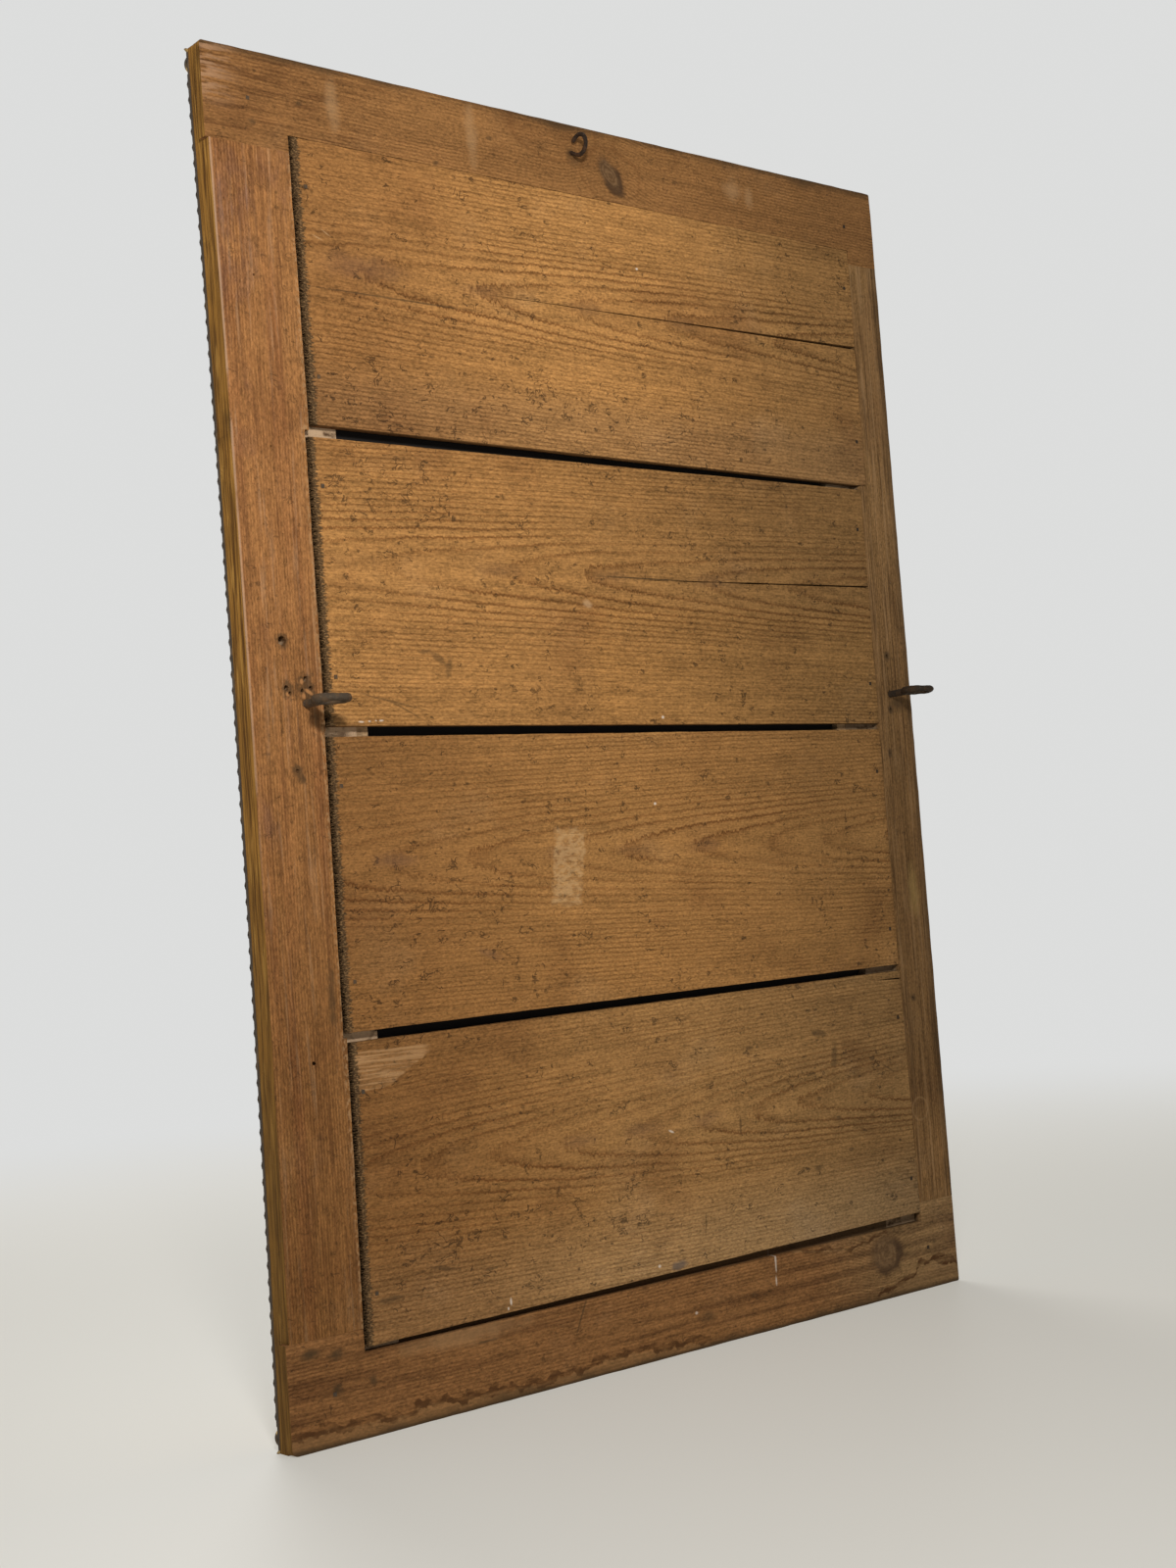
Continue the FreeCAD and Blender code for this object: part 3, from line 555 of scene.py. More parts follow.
def mark_third_board(wood):
    """A pale upright patch, a splash and dark smudges."""
    lean = wood.times(wood.less(wood.z, 0.417), 0.16)
    rough = wood.swing(wood.grain((110, 110, 110), (7.0, 3.0, 1.0), detail=3.0), 12 * MM)
    from_line = wood.add(wood.less(wood.x, 0.072), lean, rough)
    patch = wood.times(wood.within(from_line, -14 * MM, 14 * MM, 4 * MM),
                       wood.within(wood.add(wood.z, rough), 0.389, 0.446, 5 * MM))
    flecks = wood.over(wood.grain((150, 150, 330), (1.0, 2.0, 3.0), detail=3.0), 0.42, 0.60, 0.30, 1.0)
    wood.tint(wood.times(patch, flecks, 0.58), (0.60, 0.365, 0.165))
    wood.marks([(-30, 468, 1.3, 1, 0)], WHITE_SPLASH, 0.85)
    wood.marks([(246, 431, 18, 5, 0), (160, 352, 10, 3, 20)], PLUM_GREY, 0.35,
               ragged=0.9, soft=0.8, size=90.0)


def mark_bottom_board(wood):
    """A corner torn to the bare wood, paler wood towards the foot, dirty dents and splashes."""
    low_edge = wood.add(wood.times(wood.either(wood.less(0.272, wood.x), 0.0), 0.53), 0.2565)
    splits = wood.swing(wood.fibres(70, 200, 300, detail=3.0), 9 * MM)
    torn_off = wood.add(wood.less(wood.z, low_edge), splits)
    bare = wood.times(wood.over(torn_off, 0.0, 1.5 * MM), wood.under(wood.z, 0.2865, 0.2880),
                      wood.over(wood.x, 0.224, 0.236))
    splinters = wood.over(wood.fibres(26, 160, 560, detail=3.0), 0.38, 0.60, 0.20, 1.0)
    wood.tint(wood.times(bare, splinters, 0.54), (0.54, 0.310, 0.140))
    wood.wash(wood.under(wood.x, -0.10, 0.25), (1.02, 1.10, 1.22))
    wood.wash(wood.under(wood.z, 0.085, 0.150, 0.40), (1.20, 1.50, 2.10))
    wood.marks([
        (-210, 252, 8, 3, 10), (-228, 230, 4, 12, 10), (-278, 222, 3, 2, 0), (-298, 212, 8, 1, 30),
        (-120, 248, 4, 1.5, 0), (-203, 193, 3, 2, 0), (-102, 182, 1.2, 7, 5), (-227, 173, 3, 2, 0),
        (-197, 132, 6, 2, 0), (-240, 143, 3, 2, 0), (-52, 105, 0.8, 9, 4), (-325, 97, 4, 2, 0),
        (280, 98, 12, 2.5, 0), (228, 113, 13, 1.5, 12), (182, 105, 7, 1.2, 0)], SOOT_AND_SHADOW, 0.55, ragged=0.8)
    wood.marks([(165, 76, 1, 2.5, 0), (168, 71, 0.8, 1.2, 0), (-20, 187, 3, 0.8, 25), (5, 77, 1.4, 1.1, 0)],
               WHITE_SPLASH, 0.65)
    wood.marks([(-18, 74, 8, 3.5, 0)], (0.105, 0.090, 0.085), 0.65)


# For each board: its finish's name, the height of its heart, the first point of its figure and the
# step to the next, its tone, how brown and how olive its ends are and where the olive starts, the
# middle and half sizes of the place where torn fibres crowd, and its marks
# The tones fall from the top board down: partly the boards' own tone, partly painted shade where the light
# falls off downwards
BOARDS = {
    1: ("top_board_wood", 0.898, 0.018, 0.112, 1.10, 0.72, 0.62, -0.02,
        (0.10, 0.800, 0.25, 0.035), mark_top_board),
    2: ("second_board_wood", 0.664, 0.014, 0.120, 0.97, 0.10, 0.72, 0.15,
        (0.215, 0.718, 0.095, 0.045), mark_second_board),
    3: ("third_board_wood", 0.429, 0.006, 0.082, 0.89, 0.66, 0.48, -0.02,
        (0.19, 0.370, 0.11, 0.05), mark_third_board),
    4: ("bottom_board_wood", 0.192, 0.022, 0.072, 0.83, 0.72, 0.52, -0.02,
        (0.14, 0.125, 0.14, 0.04), mark_bottom_board),
}


def dark_fringe(wood, number):
    """Dirt in the torn fibres along the end beside the wide stile."""
    low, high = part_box(f"backboard_{number}")
    x_low, x_high = LAND_EDGES[number]
    slant = (x_high - x_low) / (high.z - low.z)
    end = wood.add(wood.times(wood.less(wood.z, low.z), slant), x_low - END_GAP)
    fuzz = wood.swing(wood.grain((230, 230, 800), (2.0, 6.0, 4.0), detail=3.0, roughness=0.6), 15 * MM)
    fringe = wood.over(wood.add(wood.less(wood.x, end), fuzz), -4.6 * MM, -2.6 * MM)
    fibre = wood.over(wood.grain((420, 500, 900), (1.0, 3.0, 2.0), detail=2.0), 0.47, 0.66)
    wood.tint(wood.times(fringe, 0.90), wood.blend(fibre, (0.050, 0.030, 0.014), (0.210, 0.122, 0.052)))


def board_wood(number):
    """Flat-sawn board: its growth rings show as long nested points, one at tip, the next a step on."""
    name, heart, tip, step, tone, brown, olive, olive_from, busy, mark_board = BOARDS[number]
    slope = RING / step
    wood = Pine(name, "X", heart=heart, pith=PITH_DEPTH - slope * tip, slope=slope, ring=RING,
                early=[tone * part for part in BOARD_EARLY], late=BOARD_LATE, seed=number, line=0.85)
    wood.weather(patches=1.0, specks=0.75, hairs=1.0, busy=wood.spot(*busy, soft=0.5))
    # Darker towards both stiles: partly age, partly painted shade where the light falls off
    wood.wash(wood.over(wood.x, 0.02, 0.30, top=brown), BROWN_AGE_AND_SHADE)
    wood.wash(wood.under(wood.x, -0.33, olive_from, olive), OLIVE_AGE_AND_SHADE)
    smudges = [((tip + turn * step) / MM - 12, heart / MM + 0.5, 18, 5, 0) for turn in (-1, 0, 1)]
    wood.marks(smudges, PLUM_GREY, 0.20, ragged=0.9, soft=0.8, size=70.0)
    mark_board(wood)
    dark_fringe(wood, number)
    wood.dirty_ends(wood.facing_z, 0.20)
    return wood.done()


def make_boards():
    for number in (1, 2, 3, 4):
        node = f"backboard_{number}"
        board = blank_from(node)
        low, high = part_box(node)
        ease_arrises(board, 0.7 * MM)
        saw_lines(board, "X", low.x + 8 * MM, high.x - 5 * MM, 14 * MM)
        saw_lines(board, "Z", low.z + 7 * MM, high.z - 3 * MM, 11 * MM)
        tear_end(board, high.x, number)
        hand_planed(board, 0.8 * MM, 0.02)
        smooth(board)
        finish_piece(board, board_wood(number), "pine_board", node)


def wash_sides(wood):
    """The frame's outer sides carry a thin ochre wash, streaked with dirt."""
    upright = wood.times(wood.over(wood.size(wood.facing_x), 0.55, 0.8),
                         wood.over(wood.size(wood.x), 0.360, 0.362))
    level = wood.times(wood.over(wood.size(wood.facing_z), 0.55, 0.8),
                       wood.over(wood.size(wood.less(wood.z, MID_HEIGHT)), 0.527, 0.528))
    streaks = wood.grain((14, 420, 14), (1.0, 2.0, 3.0), detail=3.0, roughness=0.62)
    wash = wood.blend(wood.over(streaks, 0.40, 0.64), (0.330, 0.158, 0.032), (0.110, 0.048, 0.012))
    gold = wood.over(wood.grain((24, 300, 24), (6.0, 2.0, 8.0), detail=2.0), 0.54, 0.70, top=0.7)
    wash = wood.blend(gold, wash, (0.50, 0.262, 0.060))
    wash = wood.blend(wood.under(wood.z, 0.15, 0.50, 0.50), wash, (0.100, 0.056, 0.018))
    wood.colour = wood.blend(wood.either(upright, level), wood.colour, wash)


def dirty_shelf(wood, pale):
    """Dirt lies in the rebate under the boards, with splintered pale wood where it shows."""
    deep = wood.times(wood.under(wood.y, SHELF + 1 * MM, BACK - 2 * MM),
                      wood.over(wood.sides(), 20 * MM, 25 * MM))
    bare = wood.over(wood.grain((90, 90, 140), (5.0, 5.0, 5.0), detail=3.0), 0.30, 0.50, top=pale)
    wood.tint(wood.times(deep, 0.85), wood.blend(bare, (0.060, 0.036, 0.018), (0.60, 0.42, 0.255)))


def fray_edge(stile):
    """The land's inner arris is split and worn by the board ends."""
    spans = [(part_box(f"backboard_{number}"), edges) for number, edges in LAND_EDGES.items()]

    def at_edge(corner):
        x, y, z = corner.co
        if y < BACK - 1.6 * MM:
            return False
        for (low, high), (x_low, x_high) in spans:
            share = (z - low.z) / (high.z - low.z)
            if -0.02 < share < 1.02 and abs(x - x_low - share * (x_high - x_low)) < 1.4 * MM:
                return True
        return False

    def along_edge(edge):
        first, last = edge.verts
        return at_edge(first) and at_edge(last) and abs(first.co.z - last.co.z) > 4 * MM

    with at_the_bench(stile, "EDGE"):
        pick(stile, "edges", along_edge)
        bpy.ops.mesh.subdivide(number_cuts=5)
        pick(stile, "verts", at_edge)
        bpy.ops.transform.vertex_random(offset=0.65 * MM, seed=11)


def wide_stile_wood():
    wood = Pine("wide_stile_wood", "Z", heart=0.52, pith=0.05, slope=0.012, ring=2.5 * MM,
                early=STILE_EARLY, late=STILE_LATE, seed=5.0, line=0.90)
    red = wood.over(wood.fibres(2.5, 60, 60, detail=3.0), 0.45, 0.72, top=0.55)
    wood.wash(red, (0.70, 0.58, 0.66))
    wood.weather(patches=0.9, specks=0.55, hairs=0.6)
    pale_fibres = wood.over(wood.fibres(16, 200, 300, detail=3.0), 0.54, 0.74, top=0.28)
    wood.tint(pale_fibres, (0.50, 0.300, 0.165))
    dark_fibres = wood.over(wood.fibres(12, 200, 420, detail=3.0, roughness=0.6), 0.52, 0.70, top=0.60)
    wood.tint(dark_fibres, (0.140, 0.055, 0.020))
    # Darker towards the foot: painted shade where the light falls off downwards
    wood.wash(wood.under(wood.z, 0.05, 0.75, 0.62), (0.43, 0.44, 0.36))
    plum = wood.grain((14, 14, 9), (3.0, 5.0, 1.0), detail=4.0, roughness=0.65)
    high = wood.within(wood.z, 0.79, 0.95, 0.05)
    outer = wood.over(wood.x, 0.330, 0.352)
    plum = wood.add(plum, wood.times(high, outer, 0.10))
    wood.wash(wood.over(plum, 0.54, 0.70, top=0.50), (0.46, 0.50, 1.05))
    wood.marks([(337, 602, 5, 5.5, 0), (335, 565, 5, 6.5, 0), (318, 566, 8, 11, 0), (331, 503, 4, 4.5, 0),
                (329, 498, 7, 3, 40)], SOOT_AND_SHADOW, 0.70, ragged=0.9, soft=0.45, size=260.0)
    wood.marks([(316, 563, 3.5, 1.4, 30), (321, 560, 1.6, 2.4, 0), (322, 571, 1.4, 2, 0),
                (335, 561, 1.6, 1.6, 0)], (0.50, 0.225, 0.080), 0.75, size=300.0)
    # Below the eye: partly rust stain, partly painted shadow of the eye
    wood.marks([(311, 544, 7, 6, 0), (305, 538, 4, 5, 0)], SOOT_AND_SHADOW, 0.55, ragged=0.6, soft=0.9, size=90.0)
    wood.marks([(314, 330, 3.5, 20, 0), (312, 346, 2, 7, 0)], SOOT_AND_SHADOW, 0.55, ragged=1.0, soft=0.6)
    from_middle = wood.less(wood.z, MID_HEIGHT)
    bowed = wood.times(from_middle, from_middle, RIGHT_BOW / MID_HEIGHT ** 2)
    edge = wood.add(bowed, HALF_WIDTH - RIGHT_INSET - RIGHT_BOW)
    from_edge = wood.less(edge, wood.x)
    rubbed = wood.times(wood.under(from_edge, 0.9 * MM, 2.0 * MM),
                        wood.over(wood.y, BACK - 1.2 * MM, BACK - 0.4 * MM), wood.over(wood.z, 0.36, 0.60))
    worn = wood.over(wood.grain((30, 30, 22), (2.0, 7.0, 4.0), detail=3.0), 0.34, 0.50)
    rubbed = wood.times(rubbed, worn)
    land_edge = wood.less(wood.less(0.3050, wood.over(wood.z, 0.536, 0.540, top=1.5 * MM)),
                          wood.over(wood.z, 0.768, 0.772, top=3.2 * MM))
    inner = wood.times(wood.under(wood.less(wood.x, land_edge), 0.8 * MM, 4.5 * MM),
                       wood.over(wood.y, BACK - 3 * MM, BACK - 1 * MM))
    splintered = wood.over(wood.grain((420, 420, 300), (8.0, 1.0, 3.0), detail=3.0), 0.46, 0.60)
    wood.tint(wood.times(inner, splintered, 0.40), (0.50, 0.300, 0.145))
    wash_sides(wood)
    wood.tint(wood.times(rubbed, 0.5), (0.54, 0.345, 0.215))
    dirty_shelf(wood, 1.0)
    return wood.done()


def narrow_stile_wood():
    wood = Pine("narrow_stile_wood", "Z", heart=-0.50, pith=0.05, slope=0.012, ring=2.5 * MM,
                early=OLD_STILE_EARLY, late=OLD_STILE_LATE, seed=6.0, line=0.8)
    wood.weather(patches=0.9, specks=0.7, hairs=0.6)
    wood.tint(wood.over(wood.fibres(3, 60, 70, detail=3.0), 0.5, 0.75, top=0.4), (0.320, 0.178, 0.075))
    pale_fibres = wood.over(wood.fibres(10, 200, 330, detail=3.0), 0.50, 0.68, top=0.42)
    wood.tint(pale_fibres, (0.40, 0.238, 0.112))
    dark_fibres = wood.over(wood.fibres(12, 200, 420, detail=3.0, roughness=0.6), 0.50, 0.66, top=0.75)
    wood.tint(dark_fibres, (0.075, 0.038, 0.015))
    # Darker towards the foot: painted shade where the light falls off downwards
    wood.wash(wood.under(wood.z, 0.40, 0.80, 0.55), (0.48, 0.45, 0.42))
    wood.wash(wood.under(wood.z, 0.12, 0.19), (1.32, 1.32, 1.31))
    wood.marks([(-346, 602, 4, 4.5, 0), (-345, 550, 3.5, 4, 0), (-339, 508, 3, 3.5, 0),
                (-343, 273, 3, 3.5, 0)], SOOT_AND_SHADOW, 0.75, ragged=0.7, soft=0.6, size=200.0)
    # Below the eye: partly rust stain, partly painted shadow of the eye
    wood.marks([(-356, 556, 9, 6, 0)], SOOT_AND_SHADOW, 0.75, ragged=0.6, soft=0.9, size=90.0)
    wood.marks([(-356, 375, 6, 18, 0)], (0.36, 0.235, 0.080), 0.40, ragged=0.8, soft=0.8, size=60.0)
    dirty_edge = wood.add(wood.x, wood.swing(wood.fibres(40, 60, 60, detail=3.0), 14 * MM))
    wood.tint(wood.under(dirty_edge, -0.374, -0.364, 0.5), SOOT_AND_SHADOW)
    ring = wood.oval(-0.340, 0.168, 10.5 * MM, 10.5 * MM, ragged=0.10)
    wood.tint(wood.under(wood.size(wood.less(ring, 1.0)), 0.03, 0.16, 0.22), (0.40, 0.24, 0.11))
    wash_sides(wood)
    dirty_shelf(wood, 0.35)
    return wood.done()


def make_stiles():
    wide = blank_from("right_stile")
    drill(wide, [
        (0.337, 0.602, 4.2 * MM, 8 * MM), (0.336, 0.566, 2.4 * MM, 6 * MM), (0.333, 0.562, 1.8 * MM, 4 * MM),
        (0.318, 0.573, 2.8 * MM, 6 * MM), (0.314, 0.566, 2.2 * MM, 4 * MM), (0.322, 0.564, 1.8 * MM, 4 * MM),
        (0.331, 0.503, 1.9 * MM, 2 * MM), (0.335, 0.751, 1.2 * MM, 4 * MM), (0.340, 0.883, 1.0 * MM, 4 * MM),
        (0.334, 0.283, 1.6 * MM, 5 * MM)])
    narrow = blank_from("left_stile")
    drill(narrow, [
        (-0.346, 0.602, 2.0 * MM, 6 * MM), (-0.345, 0.550, 1.7 * MM, 5 * MM),
        (-0.339, 0.508, 1.3 * MM, 4 * MM), (-0.343, 0.273, 1.3 * MM, 4 * MM)])
    for stile, node in ((wide, "right_stile"), (narrow, "left_stile")):
        low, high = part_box(node)
        ease_arrises(stile, 0.8 * MM)
        saw_lines(stile, "Z", low.z + 9 * MM, high.z - 3 * MM, 10 * MM)
        saw_lines(stile, "X", low.x + 9 * MM, high.x - 3 * MM, 15 * MM)
    fray_edge(wide)
    for stile in (wide, narrow):
        hand_planed(stile, 0.7 * MM, 0.018)
        smooth(stile)
    finish_piece(wide, wide_stile_wood(), "pine_frame", "right_stile")
    finish_piece(narrow, narrow_stile_wood(), "pine_frame", "left_stile")


def top_rail_wood():
    wood = Pine("top_rail_wood", "X", heart=1.11, pith=0.03, slope=0.01, ring=2.8 * MM,
                early=RAIL_EARLY, late=RAIL_LATE, seed=7.0, line=0.80,
                knots=[(-0.035, 1.023, 0.024, 0.030, 14 * MM)])
    wood.weather(patches=1.0, specks=0.6, hairs=0.6)
    # Darker towards both stiles: partly age, partly painted shade where the light falls off
    wood.wash(wood.over(wood.x, 0.18, 0.34, top=0.42), BROWN_AGE_AND_SHADE)
    wood.wash(wood.under(wood.x, -0.34, -0.10, 0.28), OLIVE_AGE_AND_SHADE)
    rough = wood.times(wood.over(wood.x, 0.12, 0.30),
                       wood.over(wood.fibres(26, 160, 330, detail=3.0), 0.48, 0.66))
    wood.wash(wood.times(rough, 0.6), (0.45, 0.40, 0.40))
    soot = wood.add(wood.z, wood.swing(wood.grain((22, 22, 60), (4.0, 1.0, 2.0), detail=3.0), 20 * MM))
    wood.tint(wood.over(soot, 1.050, 1.062, top=0.80), SOOT_AND_SHADOW)
    wood.marks([(257, 1031, 5, 17, 0), (119, 1033, 5, 20, 0), (-184, 1033, 9, 8, 0), (-206, 1030, 5, 8, 0)],
               (0.44, 0.262, 0.125), 0.40, ragged=0.8, soft=0.8, size=80.0)
    # The last two, round the hook's base, are dirt in its hole and painted shadow of the hook
    wood.marks([(288, 1026, 3, 2, 0), (100, 1032, 3, 2, 0), (332, 1004, 3, 2, 0), (158, 1001, 3, 2, 0),
                (8, 1030, 6, 6, 0), (11, 1035, 4, 4, 0)], SOOT_AND_SHADOW, 0.55, ragged=0.8, soft=0.7)
    for arc in ((-0.078, 1.050, 0.038, 0.015), (0.030, 1.052, 0.048, 0.026), (-0.034, 1.022, 0.034, 0.024)):
        wood.figure(*arc, 0.30)
    wood.knot(-0.034, 1.022, 17 * MM, 9.5 * MM, turn=math.radians(50), rim=0.80)
    torn = wood.times(wood.over(wood.x, 0.335, 0.372), wood.over(wood.z, 1.005, 1.03),
                      wood.over(wood.fibres(40, 260, 330, detail=3.0), 0.46, 0.62))
    wood.tint(wood.times(torn, 0.6), (0.44, 0.25, 0.135))
    wash_sides(wood)
    dirty_shelf(wood, 0.0)
    return wood.done()


def bottom_rail_wood():
    wood = Pine("bottom_rail_wood", "X", heart=-0.06, pith=0.03, slope=0.01, ring=2.8 * MM,
                early=LOW_RAIL_EARLY, late=LOW_RAIL_LATE, seed=8.0, line=0.90,
                knots=[(-0.272, 0.042, 0.020, 0.024, 12 * MM)])
    wood.weather(patches=1.2, specks=0.7, hairs=0.7)
    wood.wash(wood.over(wood.fibres(4, 60, 130, detail=3.0), 0.46, 0.66, top=0.60), (0.45, 0.42, 0.44))
    # Darker towards the wide stile: partly age, partly painted shade where the light falls off
    wood.wash(wood.over(wood.x, 0.0, 0.30, top=0.28), BROWN_AGE_AND_SHADE)
    wood.wash(wood.under(wood.x, -0.36, -0.05, 0.30), (0.54, 0.72, 1.05))
    wood.wash(wood.under(wood.x, -0.31, -0.16), (1.12, 1.32, 1.45))
    wood.tide_mark([(374, 15), (361, 15), (340, 18), (330, 15), (295, 14), (270, 13), (258, 17), (238, 16),
                    (222, 13), (190, 14), (170, 11), (100, 11), (60, 15), (28, 13), (-20, 10), (-40, 7)],
                   width=4.2 * MM, strength=0.85, pale=0.20)
    wood.tide_mark([(-262, 4), (-288, 14), (-310, 16), (-325, 27), (-348, 26), (-370, 20)],
                   width=4.0 * MM, strength=0.95, pale=0.12)
    wood.tide_mark([(-162, 65), (-200, 59), (-230, 56), (-250, 58), (-275, 63)],
                   width=3.0 * MM, strength=0.85, below=0.0)
    wood.marks([(354, 71, 7, 3.5, 0), (332, 67, 6, 3, 0), (333, 41, 4, 4, 0), (300, 42, 3, 3, 0)],
               SOOT_AND_SHADOW, 0.85, ragged=0.9, soft=0.9, size=120.0)
    wood.marks([(-344, 42, 3, 2.5, 0), (-305, 37, 3, 2, 0), (-102, 35, 3, 2, 0), (-47, 26, 7, 4, 0)],
               SOOT_AND_SHADOW, 0.55, ragged=0.7, soft=0.8)
    wood.marks([(191, 50, 10, 1, 0), (93, 53, 0.9, 17, 26)], SOOT_AND_SHADOW, 0.65, ragged=0.5)
    wood.marks([(215, 58, 50, 6, 0)], (0.46, 0.262, 0.115), 0.35, ragged=0.9, soft=0.8, size=70.0)
    wood.marks([(-132, 58, 1.1, 8, 0), (-131, 42, 1, 4, 0), (-33, 31, 1.4, 1.1, 0)],
               WHITE_SPLASH, 0.50, ragged=0.7)
    wood.knot(-0.276, 0.041, 20 * MM, 16 * MM, turn=0.2, rim=0.80, ringed=0.20)
    soot = wood.add(wood.z, wood.swing(wood.grain((30, 30, 60), (7.0, 1.0, 2.0), detail=3.0), 12 * MM))
    wood.tint(wood.under(soot, -0.001, 0.008, 0.8), SOOT_AND_SHADOW)
    wood.tint(wood.under(wood.z, 1.0 * MM, 3.5 * MM, 0.75), SOOT_AND_SHADOW)
    wash_sides(wood)
    dirty_shelf(wood, 0.0)
    return wood.done()


def make_rails():
    for node, outer, wood, wear in (("top_rail", HEIGHT, top_rail_wood, 2.5 * MM),
                                    ("bottom_rail", 0.0, bottom_rail_wood, 5.5 * MM)):
        rail = blank_from(node)
        low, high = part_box(node)
        round_corner(rail, HALF_WIDTH, outer, wear)
        round_corner(rail, -HALF_WIDTH, outer, 1.8 * MM)
        ease_arrises(rail, 0.8 * MM)
        saw_lines(rail, "X", low.x + 9 * MM, high.x - 3 * MM, 11 * MM)
        saw_lines(rail, "Z", low.z + 9 * MM, high.z - 3 * MM, 15 * MM)
        hand_planed(rail, 0.8 * MM, 0.018)
        smooth(rail)
        finish_piece(rail, wood(), "pine_frame", node)


# Gilt front

LEAF_SQUARE = 82 * MM
CRACKS_PER_METRE = 19.0
# Ridges and hollows of the moulding and the slip, in mm from the outer edge
RIDGES = (6, 46.5, 51.8, 101)
HOLLOWS = (13.5, 70.5, 97)
STICK_TURNS = {
    "bottom": (0, (0, FRONT, 0)),
    "top": (180, (0, FRONT, HEIGHT)),
    "right": (-90, (HALF_WIDTH, FRONT, MID_HEIGHT)),
    "left": (90, (-HALF_WIDTH, FRONT, MID_HEIGHT)),
}


def gold_leaf():
    """Old water gilding: squares of leaf over red clay, rubbed through on the ridges, cracked
    across with the gesso under it, and grimy in the hollows and towards the outer edge."""
    gilt = Finish("worn_gold_leaf", 0.34, metallic=1.0)
    inwards = gilt.sides()
    from_top = gilt.less(MID_HEIGHT, gilt.size(gilt.less(gilt.z, MID_HEIGHT)))
    from_side = gilt.less(HALF_WIDTH, gilt.size(gilt.x))
    upright = gilt.work("GREATER_THAN", from_top, from_side)
    along = gilt.add(gilt.x, gilt.times(upright, gilt.less(gilt.z, gilt.x)))
    fine = gilt.grain((240, 240, 240), detail=4.0, roughness=0.6)
    cloud = gilt.grain((16, 16, 16), (3.0, 1.0, 2.0), detail=4.0, roughness=0.6)
    waver = gilt.swing(gilt.grain((45, 45, 45), (6.0, 2.0, 3.0), detail=2.0), 8 * MM)

    def near(places, soft):
        """1 along the ridges or hollows this far from the outer edge, in mm."""
        return gilt.either(*[gilt.under(gilt.size(gilt.less(inwards, place * MM)), 0.5 * MM, soft)
                             for place in places])

    squares = gilt.times(gilt.add(along, gilt.times(waver, 0.25)), 1 / LEAF_SQUARE)
    each = gilt.node("ShaderNodeTexWhiteNoise", {"W": gilt.work("FLOOR", squares)}, noise_dimensions="1D")
    lap = gilt.over(gilt.size(gilt.less(gilt.work("FRACT", squares), 0.5)), 0.482, 0.494)
    leaf = gilt.blend(gilt.over(cloud, 0.35, 0.7), (0.74, 0.49, 0.17), (0.55, 0.335, 0.10))
    leaf = gilt.shade(leaf, gilt.add(gilt.times(each, 0.16), gilt.times(lap, 0.10), 0.86))
    ridges = near(RIDGES, 3.4 * MM)
    worn = gilt.add(gilt.times(ridges, 0.17), gilt.times(cloud, 0.60), gilt.times(fine, 0.45))
    worn = gilt.over(gilt.less(worn, gilt.times(lap, 0.06)), 0.665, 0.74)
    clay = gilt.blend(gilt.over(fine, 0.45, 0.65), (0.19, 0.045, 0.020), (0.31, 0.10, 0.04))
    colour = gilt.blend(worn, leaf, clay)
    cell_edge = gilt.node("ShaderNodeTexVoronoi",
                          {"W": gilt.times(gilt.add(along, waver), CRACKS_PER_METRE), "Scale": 1.0},
                          voronoi_dimensions="1D", feature="DISTANCE_TO_EDGE")
    crack = gilt.times(gilt.under(cell_edge, 0.003, 0.012), gilt.over(cloud, 0.46, 0.56))
    hollows = gilt.add(gilt.times(near(HOLLOWS, 4 * MM), 0.35),
                       gilt.times(gilt.under(inwards, 0.0, 20 * MM), 0.40))
    dirt = gilt.add(hollows, gilt.times(cloud, 0.65), gilt.times(fine, 0.15))
    grime = gilt.over(dirt, 0.52, 0.95, top=0.85)
    grime = gilt.either(grime, gilt.times(crack, 0.85))
    colour = gilt.blend(grime, colour, (0.055, 0.032, 0.014))
    # Outward sides near the outer edge are dark brown: partly bare wood, partly painted shade
    outward = gilt.add(gilt.times(gilt.facing_x, gilt.x, 1 / HALF_WIDTH),
                       gilt.times(gilt.facing_z, gilt.less(gilt.z, MID_HEIGHT), 1 / MID_HEIGHT))
    bare_and_shaded_sides = gilt.times(gilt.over(outward, 0.15, 0.55), gilt.under(inwards, 9 * MM, 16 * MM))
    rubbed = gilt.over(gilt.grain((90, 200, 90), (1.0, 8.0, 2.0), detail=3.0), 0.50, 0.70)
    edge = gilt.blend(rubbed, (0.040, 0.024, 0.011), (0.115, 0.066, 0.026))
    colour = gilt.blend(bare_and_shaded_sides, colour, edge)
    bare = gilt.either(worn, grime, bare_and_shaded_sides)
    gilt.link("Base Color", colour)
    gilt.link("Metallic", gilt.less(1.0, bare))
    gilt.link("Roughness", gilt.add(gilt.times(bare, 0.38), gilt.times(fine, 0.20), 0.27))
    gilt.relief(gilt.less(gilt.less(fine, worn), crack), 0.25 * MM)
    return gilt.material


def make_sticks(gilt):
    """Moulding and sight slip, with the slight waves of hand-scraped gesso."""
    for side in STICK_TURNS:
        for stick in ("moulding", "sight_slip"):
            node = f"{stick}_{side}"
            piece = blank_from(node)
            low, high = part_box(node)
            ease_arrises(piece, 0.5 * MM)
            if side in ("top", "bottom"):
                saw_lines(piece, "X", low.x + 5 * MM, high.x - 5 * MM, 22 * MM)
            else:
                saw_lines(piece, "Z", low.z + 5 * MM, high.z - 5 * MM, 22 * MM)
            hand_planed(piece, 0.5 * MM, 0.035)
            smooth(piece, 40)
            finish_piece(piece, gilt, "gilt", node)


